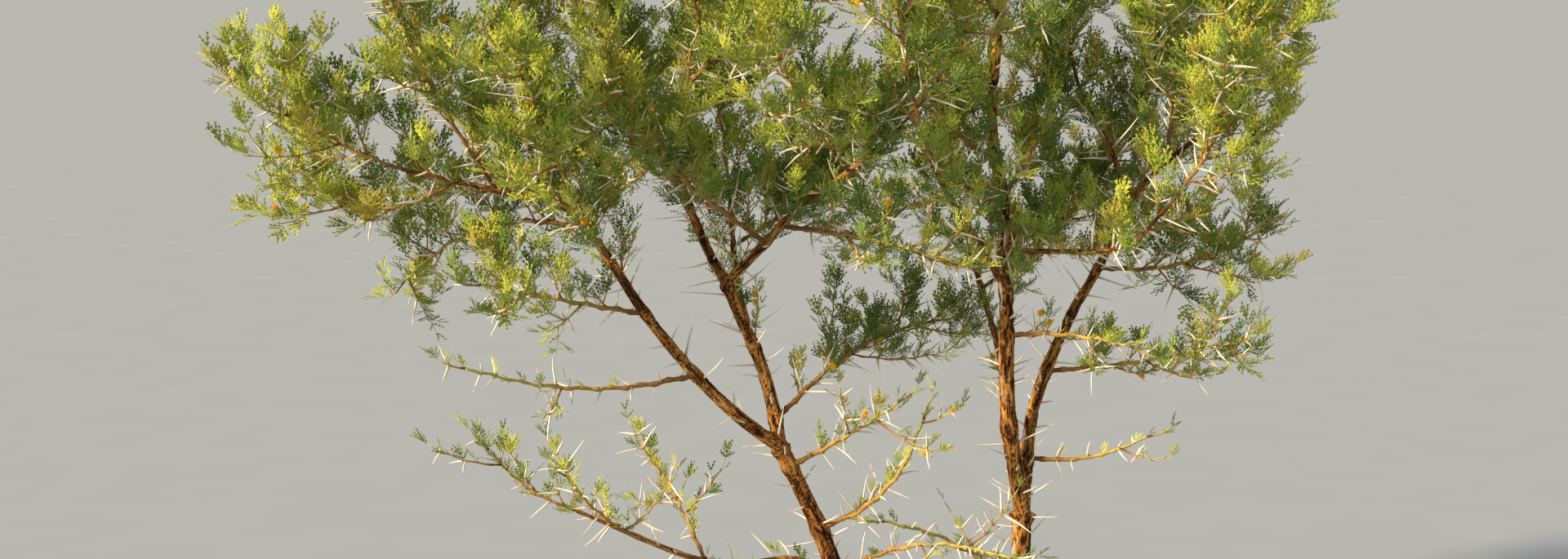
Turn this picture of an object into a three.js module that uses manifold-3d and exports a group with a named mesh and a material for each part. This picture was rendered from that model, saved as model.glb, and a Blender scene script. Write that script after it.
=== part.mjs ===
// A young thorny acacia bush of about two metres, open and wide. A left stem and a right trunk, which forks
// into two stems, fan out of one woody foot that is cut flat at the ground. Boughs leave the stems, and
// leafy masses end the boughs and stand along them. Each mass is one stem with side shoots, sprays of
// leaves, thorns and a few round blossoms. Millimetres and degrees; the origin is the middle of the foot at
// ground level, +Z is up, +X is the right of the bush and +Y its back.
import * as THREE from "three";
import { mergeVertices } from "three/addons/utils/BufferGeometryUtils.js";
import Module from "manifold-3d";

const wasm = await Module();
wasm.setup();

// Driving dimensions.
const GAP = 0.3; // between two pieces that meet
const GRID = 0.01; // to which the corners of fused solids are set
const SAFE = 2.5; // least distance between two pieces that only pass each other
const GOLDEN_TURN = 137.5; // each thorn pair stands this far round its limb from the last
const SEED = 4117;

const FOOT_HEIGHT = 115; // length of each stem that belongs to the foot
const FLARE = 0.55; // how much wider a stem is at the ground
const FLARE_HEIGHT = 75;
const DOME_HALVES = [86, 62, 66]; // of the middle of the foot, across, deep and high
const DOME_SEGMENTS = [8, 6]; // round and up
const FLARE_RING = 0.4; // share of a stump, from the ground up, where its flare has a ring of corners
const TOES = 6; // ridges where the roots start
const TOE_REACH = 105;
const TOE_REACH_SWAY = 0.14; // of the reach
const TOE_BEARING_SWAY = 17;
const TOE_SWAY_STEPS = { bearing: 2.3, reach: 1.7 }; // radians from one toe to the next
const TOE_HEIGHT = 85;
const TOE_COURSE = [[0.1, 1], [0.55, 0.4]]; // shares of its reach and height, before it enters the ground
const TOE_DEPTH = 18; // where it ends, below the ground
const TOE_GIRTH = [26, 13];
const TOE_SIDES = 4;
const BELOW_GROUND = 60; // what is made below the ground and then cut off
const SOIL_SIZE = 1000;

const STEM_SIDES = 8;
const BOUGH_SIDES = 6;
const TWIG_SIDES = 3;
const LIMB_TAPER = 1.15; // a power of the share along it: a limb thins slowly at first
const SAMPLE_STEP = 4; // along a course, where distances from it are taken
const LONGEST_COLLAR = 160; // within this of its start, what leaves a limb has come clear of it
const COLLAR_STEP = 2;

const SPRAY_STEM_GIRTH = [6, 2.6]; // radius of the stem of a leafy mass where it starts and at its tip
const SPRAY_STEM_SHARE = 0.8; // the most that it may be there, as a share of the radius of what carries it
const SHOOT_SHARE = 0.45; // radius of a shoot where it starts, as a share of its stem's there
const SHOOT_TIP = 1.2;
const SHOOT_SPACING = 76; // along the stem of a mass
const SHOOTS_FROM = 0.14; // share of the stem of a mass before its first shoot
const SHOOT_LENGTH = 190;
const SHOOT_SHORTER = [1.15, 0.55]; // its share of that length at the start and the tip of the stem
const SHOOT_SPREAD = [0.75, 1.25]; // and by chance
const SHOOT_SLANT = [42, 66]; // from the line of the stem
const SHOOT_LIFT = 0.22; // how strongly shoots turn up to the light
const LEAF_SPRAY = { length: 128, width: 48, thickness: 6, widest: 0.4 };
const LEAVES_ON_A_SHOOT = 2.2;
const LEAF_PLACES = [0.38, 0.8]; // along a shoot, of its first and last side leaf
const LEAF_SLANT = 48; // of a side leaf from its shoot
const TIP_SLANT = 6; // of a leaf at a tip
const TIP_SUNK = 1.5; // how deep the spray at the tip of a twig sits in it; the others start on its axis
const LEAF_TURN = 65; // the blade of each spray is rolled this much further
const LEAF_CLEAR_SHARE = 0.8; // of the half width of a blade that keeps off what is near
const TRIES = 3; // places that a leaf may try before it is left out
const LAST_TRY_SIZE = 0.8;

const THORN = { length: 58, radius: 1.9, sunk: 1.5, start: 0.5 }; // start: share of the radius of its twig
const THORN_SPACING = 230; // of the pairs along a limb or mass
const MASS_THORNS = 2; // on the stem of every other mass
const THORN_SPREAD = 62; // of each thorn from the line of its twig
const THORN_PAIR_TURN = 150; // between the two thorns of a pair, round their twig
const THORNS_PAST_COLLAR = { limb: 30, mass: 10 };
const BLOSSOM_RADIUS = 7;
const BLOSSOM_PLACE = 0.6; // along its shoot
const BLOSSOM_RISE = 3; // of its middle above its twig
const BLOSSOM_CHANCE = 0.07; // on one shoot

// Each stem and bough: what carries it, how far along that it leaves, its radius at both ends, and its runs
// as length, bearing in plan (0 right, 90 back) and climb above level.
const LIMBS = [
  {
    name: "left_stem", on: "foot", place: [-52, -8, 0], girth: [23, 13.5],
    runs: [[400, 185, 70], [180, 191, 74], [100, 183, 68], [125, 178, 64]],
  },
  {
    name: "right_trunk", on: "foot", place: [52, 2, 0], girth: [21.5, 17.5],
    runs: [[380, 4, 81], [245, 13, 87]],
  },
  {
    name: "middle_stem", on: "right_trunk", at: 1, girth: [15.5, 5.8],
    runs: [[191, 210, 79], [195, 121, 87], [195, 127, 86], [160, 167, 82], [175, 23, 86], [240, 66, 87],
      [60, 24, 85]],
  },
  {
    name: "right_stem", on: "right_trunk", at: 1, girth: [13, 3.6],
    runs: [[191, 62, 76], [170, 22, 67], [125, 18, 59], [150, 19, 60], [100, 17, 46], [135, 10, 37],
      [70, 9, 47]],
  },
  {
    name: "left_bough", on: "left_stem", at: 1, girth: [12, 4.2],
    runs: [[110, 197, 38], [115, 198, 46], [135, 201, 51], [115, 198, 57], [125, 195, 52], [135, 193, 15],
      [150, 190, 13]],
  },
  {
    name: "centre_bough", on: "left_stem", at: 1, girth: [12.5, 10],
    runs: [[70, 129, 74], [95, 143, 70], [90, 158, 64], [65, 159, 65]],
  },
  {
    name: "leader", on: "centre_bough", at: 1, girth: [9.5, 4],
    runs: [[75, 151, 57], [140, 143, 61], [155, 146, 63], [160, 149, 64], [165, 142, 73]],
  },
  {
    name: "fork_bough", on: "centre_bough", at: 1, girth: [9.5, 3.6],
    runs: [[90, 342, 45], [135, 330, 43], [125, 326, 32], [115, 326, 38]],
  },
  {
    name: "upper_bough", on: "leader", at: 0.52, girth: [5.5, 3.4],
    runs: [[90, 323, 29], [125, 325, 32], [110, 329, 29]],
  },
  {
    name: "low_left_bough", on: "left_stem", at: 0.68, girth: [8, 3.8],
    runs: [[95, 201, 20], [105, 197, -1], [100, 195, 15], [215, 195, 26]],
  },
  {
    name: "side_bough", on: "middle_stem", at: 0.41, girth: [6, 3.6],
    runs: [[125, 317, 3], [135, 319, 8], [115, 311, 40]],
  },
  {
    name: "inner_bough", on: "right_stem", at: 0.67, girth: [6.5, 3.6],
    runs: [[140, 120, 55], [115, 126, 53], [90, 117, 64]],
  },
  {
    name: "back_left_bough", on: "centre_bough", at: 0.6, girth: [7.5, 3.8],
    runs: [[175, 104, 38], [185, 97, 45], [160, 100, 56]],
  },
  {
    name: "back_right_bough", on: "middle_stem", at: 0.14, girth: [8, 3.8],
    runs: [[185, 93, 42], [225, 106, 50], [190, 108, 59]],
  },
  {
    name: "front_bough", on: "middle_stem", at: 0.35, girth: [7, 3.8],
    runs: [[150, 238, 40], [180, 230, 45], [165, 236, 56]],
  },
];

// Each leafy mass: what carries it, how far along that its stem leaves, the length and bearing of the stem,
// its climb where it starts and where it ends, and how leafy it is (1 is usual).
const MASSES = [
  ["far_left", "left_bough", 1, 300, 187, 22, 36, 1],
  ["left_end_low", "left_bough", 0.9, 295, 160, -24, 12, 1],
  ["left_end_top", "left_bough", 0.82, 430, 228, 52, 62, 1],
  ["left_back_top", "left_bough", 0.68, 480, 113, 38, 58, 1],
  ["left_front", "left_bough", 0.54, 440, 246, 44, 56, 1],
  ["left_under", "left_bough", 0.63, 400, 158, 2, -36, 0.9],
  ["left_shelf", "left_bough", 0.41, 310, 207, 12, 14, 0.9],
  ["left_thin", "left_bough", 0.24, 440, 208, -4, 16, 0.5],
  ["low_left_tip", "low_left_bough", 1, 190, 186, 24, 50, 0.6],
  ["low_left_front", "low_left_bough", 0.76, 230, 232, 30, 46, 0.55],
  ["low_left_back", "low_left_bough", 0.5, 300, 118, 36, 28, 0.6],
  ["leader_top", "leader", 1, 290, 150, 76, 88, 1.1],
  ["leader_left", "leader", 0.65, 420, 203, 46, 62, 1.1],
  ["leader_back", "leader", 0.24, 470, 118, 32, 50, 1],
  ["upper_tip", "upper_bough", 1, 380, 325, 46, 78, 1.1],
  ["upper_front", "upper_bough", 0.51, 440, 258, 48, 66, 1],
  ["fork_cross", "fork_bough", 0.24, 460, 217, 33, 42, 1],
  ["fork_tip", "fork_bough", 1, 340, 322, 48, 70, 1],
  ["fork_low", "fork_bough", 0.34, 350, 328, -4, -10, 0.8],
  ["fork_front", "fork_bough", 0.72, 420, 246, 28, 42, 1],
  ["cross_back", "centre_bough", 0.16, 500, 36, 33, 4, 0.8],
  ["stem_right", "left_stem", 0.95, 275, 324, 29, 34, 0.6],
  ["stem_low_up", "left_stem", 0.79, 320, 331, 28, 66, 0.5],
  ["stem_low_right", "left_stem", 0.67, 385, 325, 30, -2, 0.5],
  ["trunk_left", "right_trunk", 0.76, 320, 200, 42, 18, 0.5],
  ["middle_top", "middle_stem", 1, 210, 60, 84, 88, 1.1],
  ["middle_left", "middle_stem", 0.55, 300, 227, 20, 64, 1],
  ["middle_long", "middle_stem", 0.51, 330, 147, -12, -24, 0.8],
  ["middle_back", "middle_stem", 0.48, 400, 64, 34, 54, 1],
  ["middle_high", "middle_stem", 0.76, 400, 146, 55, 70, 1.1],
  ["middle_low", "middle_stem", 0.28, 260, 320, 8, -6, 0.7],
  ["right_tip", "right_stem", 1, 150, 20, 50, 80, 1],
  ["right_up", "right_stem", 0.78, 400, 268, 66, 76, 1.1],
  ["side_tip", "side_bough", 1, 360, 310, 50, 82, 1.1],
  ["inner_tip", "inner_bough", 1, 300, 90, 74, 84, 1],
  ["inner_back", "inner_bough", 0.35, 370, 54, 34, 48, 1],
  ["right_low", "right_stem", 0.29, 340, 340, 8, 16, 0.8],
  ["right_bare", "right_stem", 0.11, 230, 341, 2, 26, 0.35],
  ["right_shelf", "right_stem", 0.52, 350, 16, -2, 22, 0.9],
  ["back_left_tip", "back_left_bough", 1, 340, 107, 54, 68, 1.1],
  ["back_left_out", "back_left_bough", 0.5, 430, 38, 26, 44, 1],
  ["back_right_tip", "back_right_bough", 1, 380, 103, 58, 72, 1.1],
  ["back_right_out", "back_right_bough", 0.54, 460, 30, 30, 46, 1],
  ["front_tip", "front_bough", 1, 320, 250, 60, 76, 1],
].map(([name, on, at, length, bearing, climb, climbAtTip, leafiness]) => (
  { name: `leaves_${name}`, on, at, length, bearing, climb, climbAtTip, leafiness }));

const FINISHES = {
  foot: { color: 0x7b5a38, roughness: 0.95, metalness: 0 },
  bark: { color: 0x95652f, roughness: 0.9, metalness: 0 },
  leaves: { color: 0x7f9a30, roughness: 0.7, metalness: 0 },
};

// Small helpers.

const UP = new THREE.Vector3(0, 0, 1);

function radians(degrees) {
  return THREE.MathUtils.degToRad(degrees);
}

function mix(pair, share) {
  return pair[0] + (pair[1] - pair[0]) * share;
}

function heading(bearing, climb) {
  const level = Math.cos(radians(climb));
  const x = level * Math.cos(radians(bearing));
  const y = level * Math.sin(radians(bearing));
  return new THREE.Vector3(x, y, Math.sin(radians(climb)));
}

// A repeatable run of draws between 0 and 1.
function drawsFrom(seed) {
  let state = seed >>> 0;
  return () => {
    state = (state + 0x6d2b79f5) >>> 0;
    let word = Math.imul(state ^ (state >>> 15), state | 1);
    word ^= word + Math.imul(word ^ (word >>> 7), word | 61);
    return ((word ^ (word >>> 14)) >>> 0) / 4294967296;
  };
}

// Shapes and solids.

function solidOf(geometry) {
  geometry.deleteAttribute("normal");
  geometry.deleteAttribute("uv");
  const merged = mergeVertices(geometry, 1e-4);
  return new wasm.Manifold(new wasm.Mesh({
    numProp: 3,
    vertProperties: new Float32Array(merged.attributes.position.array),
    triVerts: new Uint32Array(merged.index.array),
  }));
}

function joined(solids) {
  return solids.reduce((whole, piece) => whole.add(piece));
}

// The largest body of a solid: what fusing leaves loose beside it is dropped.
function mainBody(solid) {
  const bodies = solid.decompose();
  return bodies.reduce((best, body) => (body.volume() > best.volume() ? body : best));
}

// The faces of a solid with their corners on a fine grid, less those that close up to nothing there.
function gridFaces(solid) {
  const { vertProperties, triVerts } = solid.getMesh();
  const keys = new Map();
  const places = [];
  const cornerOf = (vertex) => {
    const steps = [0, 1, 2].map((axis) => Math.round(vertProperties[vertex * 3 + axis] / GRID));
    const key = steps.join();
    if (!keys.has(key)) {
      keys.set(key, keys.size);
      places.push(...steps.map((step) => step * GRID));
    }
    return keys.get(key);
  };
  const faces = new Map();
  for (let i = 0; i < triVerts.length; i += 3) {
    const face = [...triVerts.slice(i, i + 3)].map(cornerOf);
    const key = [...face].sort((a, b) => a - b).join();
    const isFlat = new Set(face).size < 3 || faces.has(key);
    if (isFlat) faces.delete(key);
    else faces.set(key, face);
  }
  return { places, faces: [...faces.values()].flat() };
}

function meshOf(name, solid, finish) {
  const { places, faces } = gridFaces(solid);
  const geometry = new THREE.BufferGeometry();
  geometry.setAttribute("position", new THREE.Float32BufferAttribute(places, 3));
  geometry.setIndex(faces);
  geometry.computeVertexNormals();
  const mesh = new THREE.Mesh(geometry, new THREE.MeshStandardMaterial(finish));
  mesh.name = name;
  return mesh;
}

// The axis that a direction follows least.
function leastAxis(direction) {
  const sizes = direction.toArray().map(Math.abs);
  return new THREE.Vector3().setComponent(sizes.indexOf(Math.min(...sizes)), 1);
}

// The direction square to a run that is turned round it by an angle, from a level that stays the same.
function turned(ahead, level, turn) {
  const right = new THREE.Vector3().crossVectors(level, ahead).normalize();
  const over = new THREE.Vector3().crossVectors(ahead, right);
  return right.multiplyScalar(Math.cos(radians(turn))).addScaledVector(over, Math.sin(radians(turn)));
}

function levelOf(curve) {
  return leastAxis(curve.getPoint(1).sub(curve.getPoint(0)));
}

// The direction that leaves a curve at a share of it, turned round it and at a slant from it.
function leaving(curve, share, turn, slant) {
  const ahead = curve.getTangent(share);
  const side = turned(ahead, levelOf(curve), turn);
  return ahead.multiplyScalar(Math.cos(radians(slant))).addScaledVector(side, Math.sin(radians(slant)));
}

// The turn at which something stands in the middle of one face of a three-sided twig.
function faceTurn(count) {
  return 90 + (count * 360) / TWIG_SIDES;
}

// A tapering limb: a cylinder bent along a curve, with a ring of corners at each of some shares of it.
function taperedLimb(curve, shares, radiusAt, sides) {
  const level = levelOf(curve);
  const pipe = new THREE.CylinderGeometry(1, 1, 1, sides, shares.length - 1);
  const corners = pipe.attributes.position;
  for (let i = 0; i < corners.count; i += 1) {
    const share = shares[Math.round((corners.getY(i) + 0.5) * (shares.length - 1))];
    const place = curve.getPoint(share);
    const ahead = curve.getTangent(share);
    const radius = radiusAt(share);
    place.addScaledVector(turned(ahead, level, 0), corners.getX(i) * radius);
    place.addScaledVector(turned(ahead, level, 90), -corners.getZ(i) * radius);
    corners.setXYZ(i, place.x, place.y, place.z);
  }
  return solidOf(pipe);
}

// A solid made along +X from the origin, turned to point ahead with its flat side facing a direction.
function aimed(geometry, root, ahead, facing) {
  const wide = new THREE.Vector3().crossVectors(facing, ahead).normalize();
  const flat = new THREE.Vector3().crossVectors(ahead, wide);
  const turn = new THREE.Matrix4().makeBasis(ahead, wide, flat).setPosition(root);
  return solidOf(geometry.applyMatrix4(turn));
}

function leafSolid(leaf) {
  const { length, width, thickness, widest } = LEAF_SPRAY;
  const blade = new THREE.OctahedronGeometry(1).translate(1, 0, 0);
  const corners = blade.attributes.position;
  for (let i = 0; i < corners.count; i += 1) {
    const along = [0, widest, 1][Math.round(corners.getX(i))];
    corners.setX(i, along * length * leaf.size);
  }
  blade.scale(1, (width * leaf.size) / 2, thickness / 2);
  return aimed(blade, leaf.root, leaf.ahead, leaf.facing);
}

function thornSolid(thorn) {
  const spike = new THREE.ConeGeometry(THORN.radius, THORN.length, 3).rotateZ(-Math.PI / 2);
  spike.translate(THORN.length / 2, 0, 0);
  return aimed(spike, thorn.root, thorn.ahead, thorn.facing);
}

function blossomSolid(place) {
  return solidOf(new THREE.IcosahedronGeometry(BLOSSOM_RADIUS).translate(place.x, place.y, place.z));
}

// The courses of stems, boughs and masses.

function pathThrough(points) {
  const path = new THREE.CurvePath();
  points.slice(1).forEach((point, i) => path.add(new THREE.LineCurve3(points[i], point)));
  return path;
}

function courseOf(start, legs) {
  const points = [start];
  for (const [length, bearing, climb] of legs) {
    points.push(points.at(-1).clone().addScaledVector(heading(bearing, climb), length));
  }
  return pathThrough(points);
}

const courses = new Map(); // by name: the curve of each limb and mass, and its radius at a share of it

function addCourse(name, on, curve, radiusAt, limb) {
  courses.set(name, { name, on, curve, radiusAt, limb, length: curve.getLength() });
}

function stemRadius(girth, flared, length) {
  return (share) => {
    const plain = mix(girth, Math.max(share, 0) ** LIMB_TAPER);
    return flared ? plain * (1 + FLARE * Math.exp((-share * length) / FLARE_HEIGHT)) : plain;
  };
}

for (const { name, on, place, at, girth, runs } of LIMBS) {
  const start = place ? new THREE.Vector3(...place) : courses.get(on).curve.getPoint(at);
  const curve = courseOf(start, runs);
  addCourse(name, on, curve, stemRadius(girth, on === "foot", curve.getLength()), true);
}

for (const { name, on, at, length, bearing, climb, climbAtTip } of MASSES) {
  const legs = [0, 0.5, 1].map((share) => [length / 3, bearing, mix([climb, climbAtTip], share)]);
  const carrier = courses.get(on);
  const start = Math.min(SPRAY_STEM_GIRTH[0], SPRAY_STEM_SHARE * carrier.radiusAt(at));
  const girth = [start, Math.min(SPRAY_STEM_GIRTH[1], start)];
  addCourse(name, on, courseOf(carrier.curve.getPoint(at), legs), (share) => mix(girth, share), false);
}

// What is already placed: straight pieces with a half width and the name of what they belong to.
const placed = [];

function distanceBetween(a, b, c, d) {
  const u = b.clone().sub(a);
  const v = d.clone().sub(c);
  const w = a.clone().sub(c);
  const uu = u.dot(u);
  const uv = u.dot(v);
  const vv = v.dot(v);
  const uw = u.dot(w);
  const vw = v.dot(w);
  const spread = Math.max(uu * vv - uv * uv, 1e-9);
  let s = THREE.MathUtils.clamp((uv * vw - vv * uw) / spread, 0, 1);
  const t = THREE.MathUtils.clamp((uv * s + vw) / vv, 0, 1);
  s = THREE.MathUtils.clamp((uv * t - uw) / uu, 0, 1);
  return w.addScaledVector(u, s).addScaledVector(v, -t).length();
}

// The shares of a course at two distances along it and at each bend between them.
function ringShares(course, from, to) {
  const bends = course.curve.getCurveLengths().filter((bend) => bend > from + 1 && bend < to - 1);
  return [from, ...bends, to].map((distance) => distance / course.length);
}

function placeCourse(course) {
  const shares = ringShares(course, course.from, course.length);
  shares.slice(1).forEach((share, i) => {
    const a = course.curve.getPoint(shares[i]);
    const b = course.curve.getPoint(share);
    placed.push({ a, b, half: course.radiusAt(shares[i]), owner: course.name });
  });
}

function isFree(a, b, half, owner) {
  if (Math.min(a.z, b.z) < half + SAFE) return false;
  return placed.every((other) => other.owner === owner
    || distanceBetween(a, b, other.a, other.b) > half + other.half + SAFE);
}

// The distance along a course at which it has come clear of all that starts beside it.
function clearStart(course) {
  if (course.on === "foot") return FOOT_HEIGHT;
  const rivals = [...courses.values()].filter((other) => other !== course
    && (other.name === course.on || other.on === course.on));
  const reach = Math.min(course.length, LONGEST_COLLAR);
  for (let along = COLLAR_STEP; along < reach; along += COLLAR_STEP) {
    const share = along / course.length;
    const point = course.curve.getPoint(share);
    const half = course.radiusAt(share);
    const clear = rivals.every((other) => other.samples.every(({ at, radius }) => (
      point.distanceTo(at) > half + radius + SAFE)));
    if (clear) return along;
  }
  return reach;
}

for (const course of courses.values()) {
  const steps = Math.ceil(course.length / SAMPLE_STEP);
  course.samples = Array.from({ length: steps + 1 }, (_, i) => (
    { at: course.curve.getPoint(i / steps), radius: course.radiusAt(i / steps) }));
}
for (const course of courses.values()) {
  course.from = clearStart(course);
  placeCourse(course);
}

// The leafy masses.

// Whether a place is nearer to the stem of its own mass than to that of any other.
function isInOwnSpace(place, owner) {
  const nearest = (course) => Math.min(...course.samples.map(({ at }) => at.distanceToSquared(place)));
  const own = nearest(courses.get(owner));
  return MASSES.every(({ name }) => name === owner || nearest(courses.get(name)) > own);
}

function shootsOf(mass) {
  const course = courses.get(mass.name);
  const draw = drawsFrom(SEED + MASSES.indexOf(mass));
  const count = Math.round((course.length / SHOOT_SPACING) * Math.sqrt(mass.leafiness));
  const shoots = [];
  for (let k = 0; k < count; k += 1) {
    const share = SHOOTS_FROM + ((1 - SHOOTS_FROM) * (k + draw())) / count;
    const slant = mix(SHOOT_SLANT, draw());
    const length = SHOOT_LENGTH * mix(SHOOT_SHORTER, share) * mix(SHOOT_SPREAD, draw());
    const bloom = draw() < BLOSSOM_CHANCE;
    const root = course.curve.getPoint(share);
    const out = leaving(course.curve, share, faceTurn(k), slant).addScaledVector(UP, SHOOT_LIFT).normalize();
    const tip = root.clone().addScaledVector(out, length);
    const half = course.radiusAt(share) * SHOOT_SHARE;
    if (isInOwnSpace(tip, mass.name) && isFree(root, tip, half, mass.name)) {
      placed.push({ a: root, b: tip, half, owner: mass.name });
      shoots.push({ curve: new THREE.LineCurve3(root, tip), length, half, bloom });
    }
  }
  return shoots;
}

// A spray that leaves a twig: the first of a few turns round the twig at which it is free.
function leafOn(curve, share, face, slant, owner, others) {
  const root = curve.getPoint(share);
  for (let attempt = 0; attempt < TRIES; attempt += 1) {
    const size = attempt < TRIES - 1 ? 1 : LAST_TRY_SIZE;
    const out = leaving(curve, share, faceTurn(face + attempt), slant);
    const half = (LEAF_SPRAY.width * size) / 2;
    const clearHalf = half * LEAF_CLEAR_SHARE;
    const middle = root.clone().addScaledVector(out, half);
    const tip = root.clone().addScaledVector(out, LEAF_SPRAY.length * size);
    const nearTip = root.clone().addScaledVector(out, LEAF_SPRAY.length * size - half);
    const facing = turned(out, leastAxis(out), LEAF_TURN * (face + attempt));
    const clearOfOthers = others.every((leaf) => (
      distanceBetween(middle, nearTip, leaf.middle, leaf.nearTip) > half));
    if (clearOfOthers && isInOwnSpace(tip, owner) && isFree(middle, nearTip, clearHalf, owner)
      && isFree(root, tip, SAFE, owner)) {
      placed.push({ a: middle, b: nearTip, half: clearHalf, owner });
      placed.push({ a: root, b: tip, half: SAFE, owner });
      return { root, ahead: out, facing, size, middle, nearTip };
    }
  }
  return null;
}

function leavesOf(mass, shoots) {
  const course = courses.get(mass.name);
  const leaves = [];
  const addLeaf = (curve, share, face, slant) => {
    const leaf = leafOn(curve, share, face, slant, mass.name, leaves);
    if (leaf) leaves.push(leaf);
  };
  addLeaf(course.curve, 1 - TIP_SUNK / course.length, 0, TIP_SLANT);
  shoots.forEach(({ curve, length }, k) => {
    addLeaf(curve, 1 - TIP_SUNK / length, k, TIP_SLANT);
    const count = Math.round((LEAVES_ON_A_SHOOT * length) / SHOOT_LENGTH);
    for (let i = 0; i < count; i += 1) {
      addLeaf(curve, mix(LEAF_PLACES, count > 1 ? i / (count - 1) : 0.5), k + 2 * i, LEAF_SLANT);
    }
  });
  return leaves;
}

function thornPair(curve, share, turn, radius) {
  return [0, THORN_PAIR_TURN].map((round) => {
    const side = leaving(curve, share, turn + round, 90);
    const root = curve.getPoint(share).addScaledVector(side, radius * THORN.start - THORN.sunk);
    const out = leaving(curve, share, turn + round, THORN_SPREAD);
    return { root, ahead: out, facing: turned(out, leastAxis(out), 90) };
  });
}

// Thorn pairs stand along a course wherever both thorns are free.
function thornsOf(course, spacing, from) {
  const thorns = [];
  const count = Math.floor((course.length - from) / spacing);
  for (let i = 0; i < count; i += 1) {
    const share = (from + (i + 0.5) * spacing) / course.length;
    const pair = thornPair(course.curve, share, i * GOLDEN_TURN, course.radiusAt(share));
    const tips = pair.map(({ root, ahead }) => root.clone().addScaledVector(ahead, THORN.length));
    if (pair.every(({ root }, k) => isFree(root, tips[k], THORN.radius, course.name))) {
      thorns.push(...pair);
      pair.forEach(({ root }, k) => placed.push({ a: root, b: tips[k], half: 1, owner: course.name }));
    }
  }
  return thorns;
}

// The limb along a course, from where it is clear of what carries it to its tip.
function courseSolid(course, sides) {
  const shares = ringShares(course, course.from + GAP, course.length);
  return taperedLimb(course.curve, shares, course.radiusAt, sides);
}

function massSolid(mass, shoots, leaves, thorns) {
  const pieces = [courseSolid(courses.get(mass.name), TWIG_SIDES)];
  for (const { curve, half, bloom } of shoots) {
    pieces.push(taperedLimb(curve, [0, 1], (share) => mix([half, SHOOT_TIP], share), TWIG_SIDES));
    if (bloom) {
      const place = curve.getPoint(BLOSSOM_PLACE);
      place.addScaledVector(UP, BLOSSOM_RISE);
      pieces.push(blossomSolid(place));
    }
  }
  pieces.push(...leaves.map(leafSolid), ...thorns.map(thornSolid));
  return mainBody(joined(pieces));
}

// The stems, boughs and foot.

// The start of each limb or mass that leaves a limb belongs to that limb, as its collar.
function collarsOn(name) {
  return [...courses.values()].filter(({ on }) => on === name).map((course) => {
    const sides = course.limb ? BOUGH_SIDES : TWIG_SIDES;
    return taperedLimb(course.curve, ringShares(course, 0, course.from), course.radiusAt, sides);
  });
}

function limbSolid(course, thorns) {
  const body = courseSolid(course, course.on === "foot" ? STEM_SIDES : BOUGH_SIDES);
  return mainBody(joined([body, ...collarsOn(course.name), ...thorns.map(thornSolid)]));
}

// A ridge that runs from inside the foot out and down into the ground.
function toeSolid(i) {
  const bearing = (i * 360) / TOES + TOE_BEARING_SWAY * Math.sin(i * TOE_SWAY_STEPS.bearing);
  const sway = 1 - Math.cos(i * TOE_SWAY_STEPS.reach);
  const reach = TOE_REACH * (1 - TOE_REACH_SWAY * sway);
  const pointAt = (out, up) => heading(bearing, 0).multiplyScalar(reach * out).setZ(up);
  const points = TOE_COURSE.map(([out, up]) => pointAt(out, up * TOE_HEIGHT));
  const path = pathThrough([...points, pointAt(1, -TOE_DEPTH)]);
  return taperedLimb(path, [0, 0.5, 1], (share) => mix(TOE_GIRTH, share), TOE_SIDES);
}

// The lower end of a stem, from below the ground to where the stem's own piece starts.
function stumpSolid(course) {
  const below = course.curve.getPoint(0).addScaledVector(course.curve.getTangent(0), -BELOW_GROUND);
  const path = pathThrough([below, course.curve.getPoint(course.from / course.length)]);
  const radiusAt = (share) => course.radiusAt(mix([-BELOW_GROUND, course.from], share) / course.length);
  const ground = BELOW_GROUND / (BELOW_GROUND + course.from);
  return taperedLimb(path, [0, ground, mix([ground, 1], FLARE_RING), 1], radiusAt, STEM_SIDES);
}

function footSolid() {
  const stumps = [...courses.values()].filter(({ on }) => on === "foot").map(stumpSolid);
  const ball = new THREE.SphereGeometry(1, ...DOME_SEGMENTS).rotateX(Math.PI / 2);
  const dome = solidOf(ball.scale(...DOME_HALVES));
  const toes = Array.from({ length: TOES }, (_, i) => toeSolid(i));
  const soil = new THREE.BoxGeometry(SOIL_SIZE, SOIL_SIZE, SOIL_SIZE).translate(0, 0, -SOIL_SIZE / 2);
  return mainBody(joined([dome, ...stumps, ...toes]).subtract(solidOf(soil)));
}

function build() {
  const plant = new THREE.Group();
  plant.add(meshOf("foot", footSolid(), FINISHES.foot));
  const shoots = MASSES.map(shootsOf);
  const limbs = LIMBS.map(({ name }) => courses.get(name));
  const limbThorns = limbs.map((course) => (
    thornsOf(course, THORN_SPACING, course.from + THORNS_PAST_COLLAR.limb)));
  const massThorns = MASSES.map(({ name }, i) => {
    const course = courses.get(name);
    const thorns = thornsOf(course, THORN_SPACING, course.from + THORNS_PAST_COLLAR.mass);
    return thorns.slice(0, i % 2 === 0 ? MASS_THORNS : 0);
  });
  const leaves = MASSES.map((mass, i) => leavesOf(mass, shoots[i]));
  limbs.forEach((course, i) => {
    plant.add(meshOf(course.name, limbSolid(course, limbThorns[i]), FINISHES.bark));
  });
  MASSES.forEach((mass, i) => {
    const solid = massSolid(mass, shoots[i], leaves[i], massThorns[i]);
    plant.add(meshOf(mass.name, solid, FINISHES.leaves));
  });
  return plant;
}

export default build();
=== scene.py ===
# A young thorny acacia bush: bark, twigs, thorns, feathery leaves and round blossoms, grown on from the
# stems and boughs of the frame by the rule that its source uses. Lengths are in metres.
import math
from dataclasses import dataclass

import bmesh
import bpy
import numpy as np
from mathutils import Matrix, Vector, noise
from mathutils.kdtree import KDTree


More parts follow.
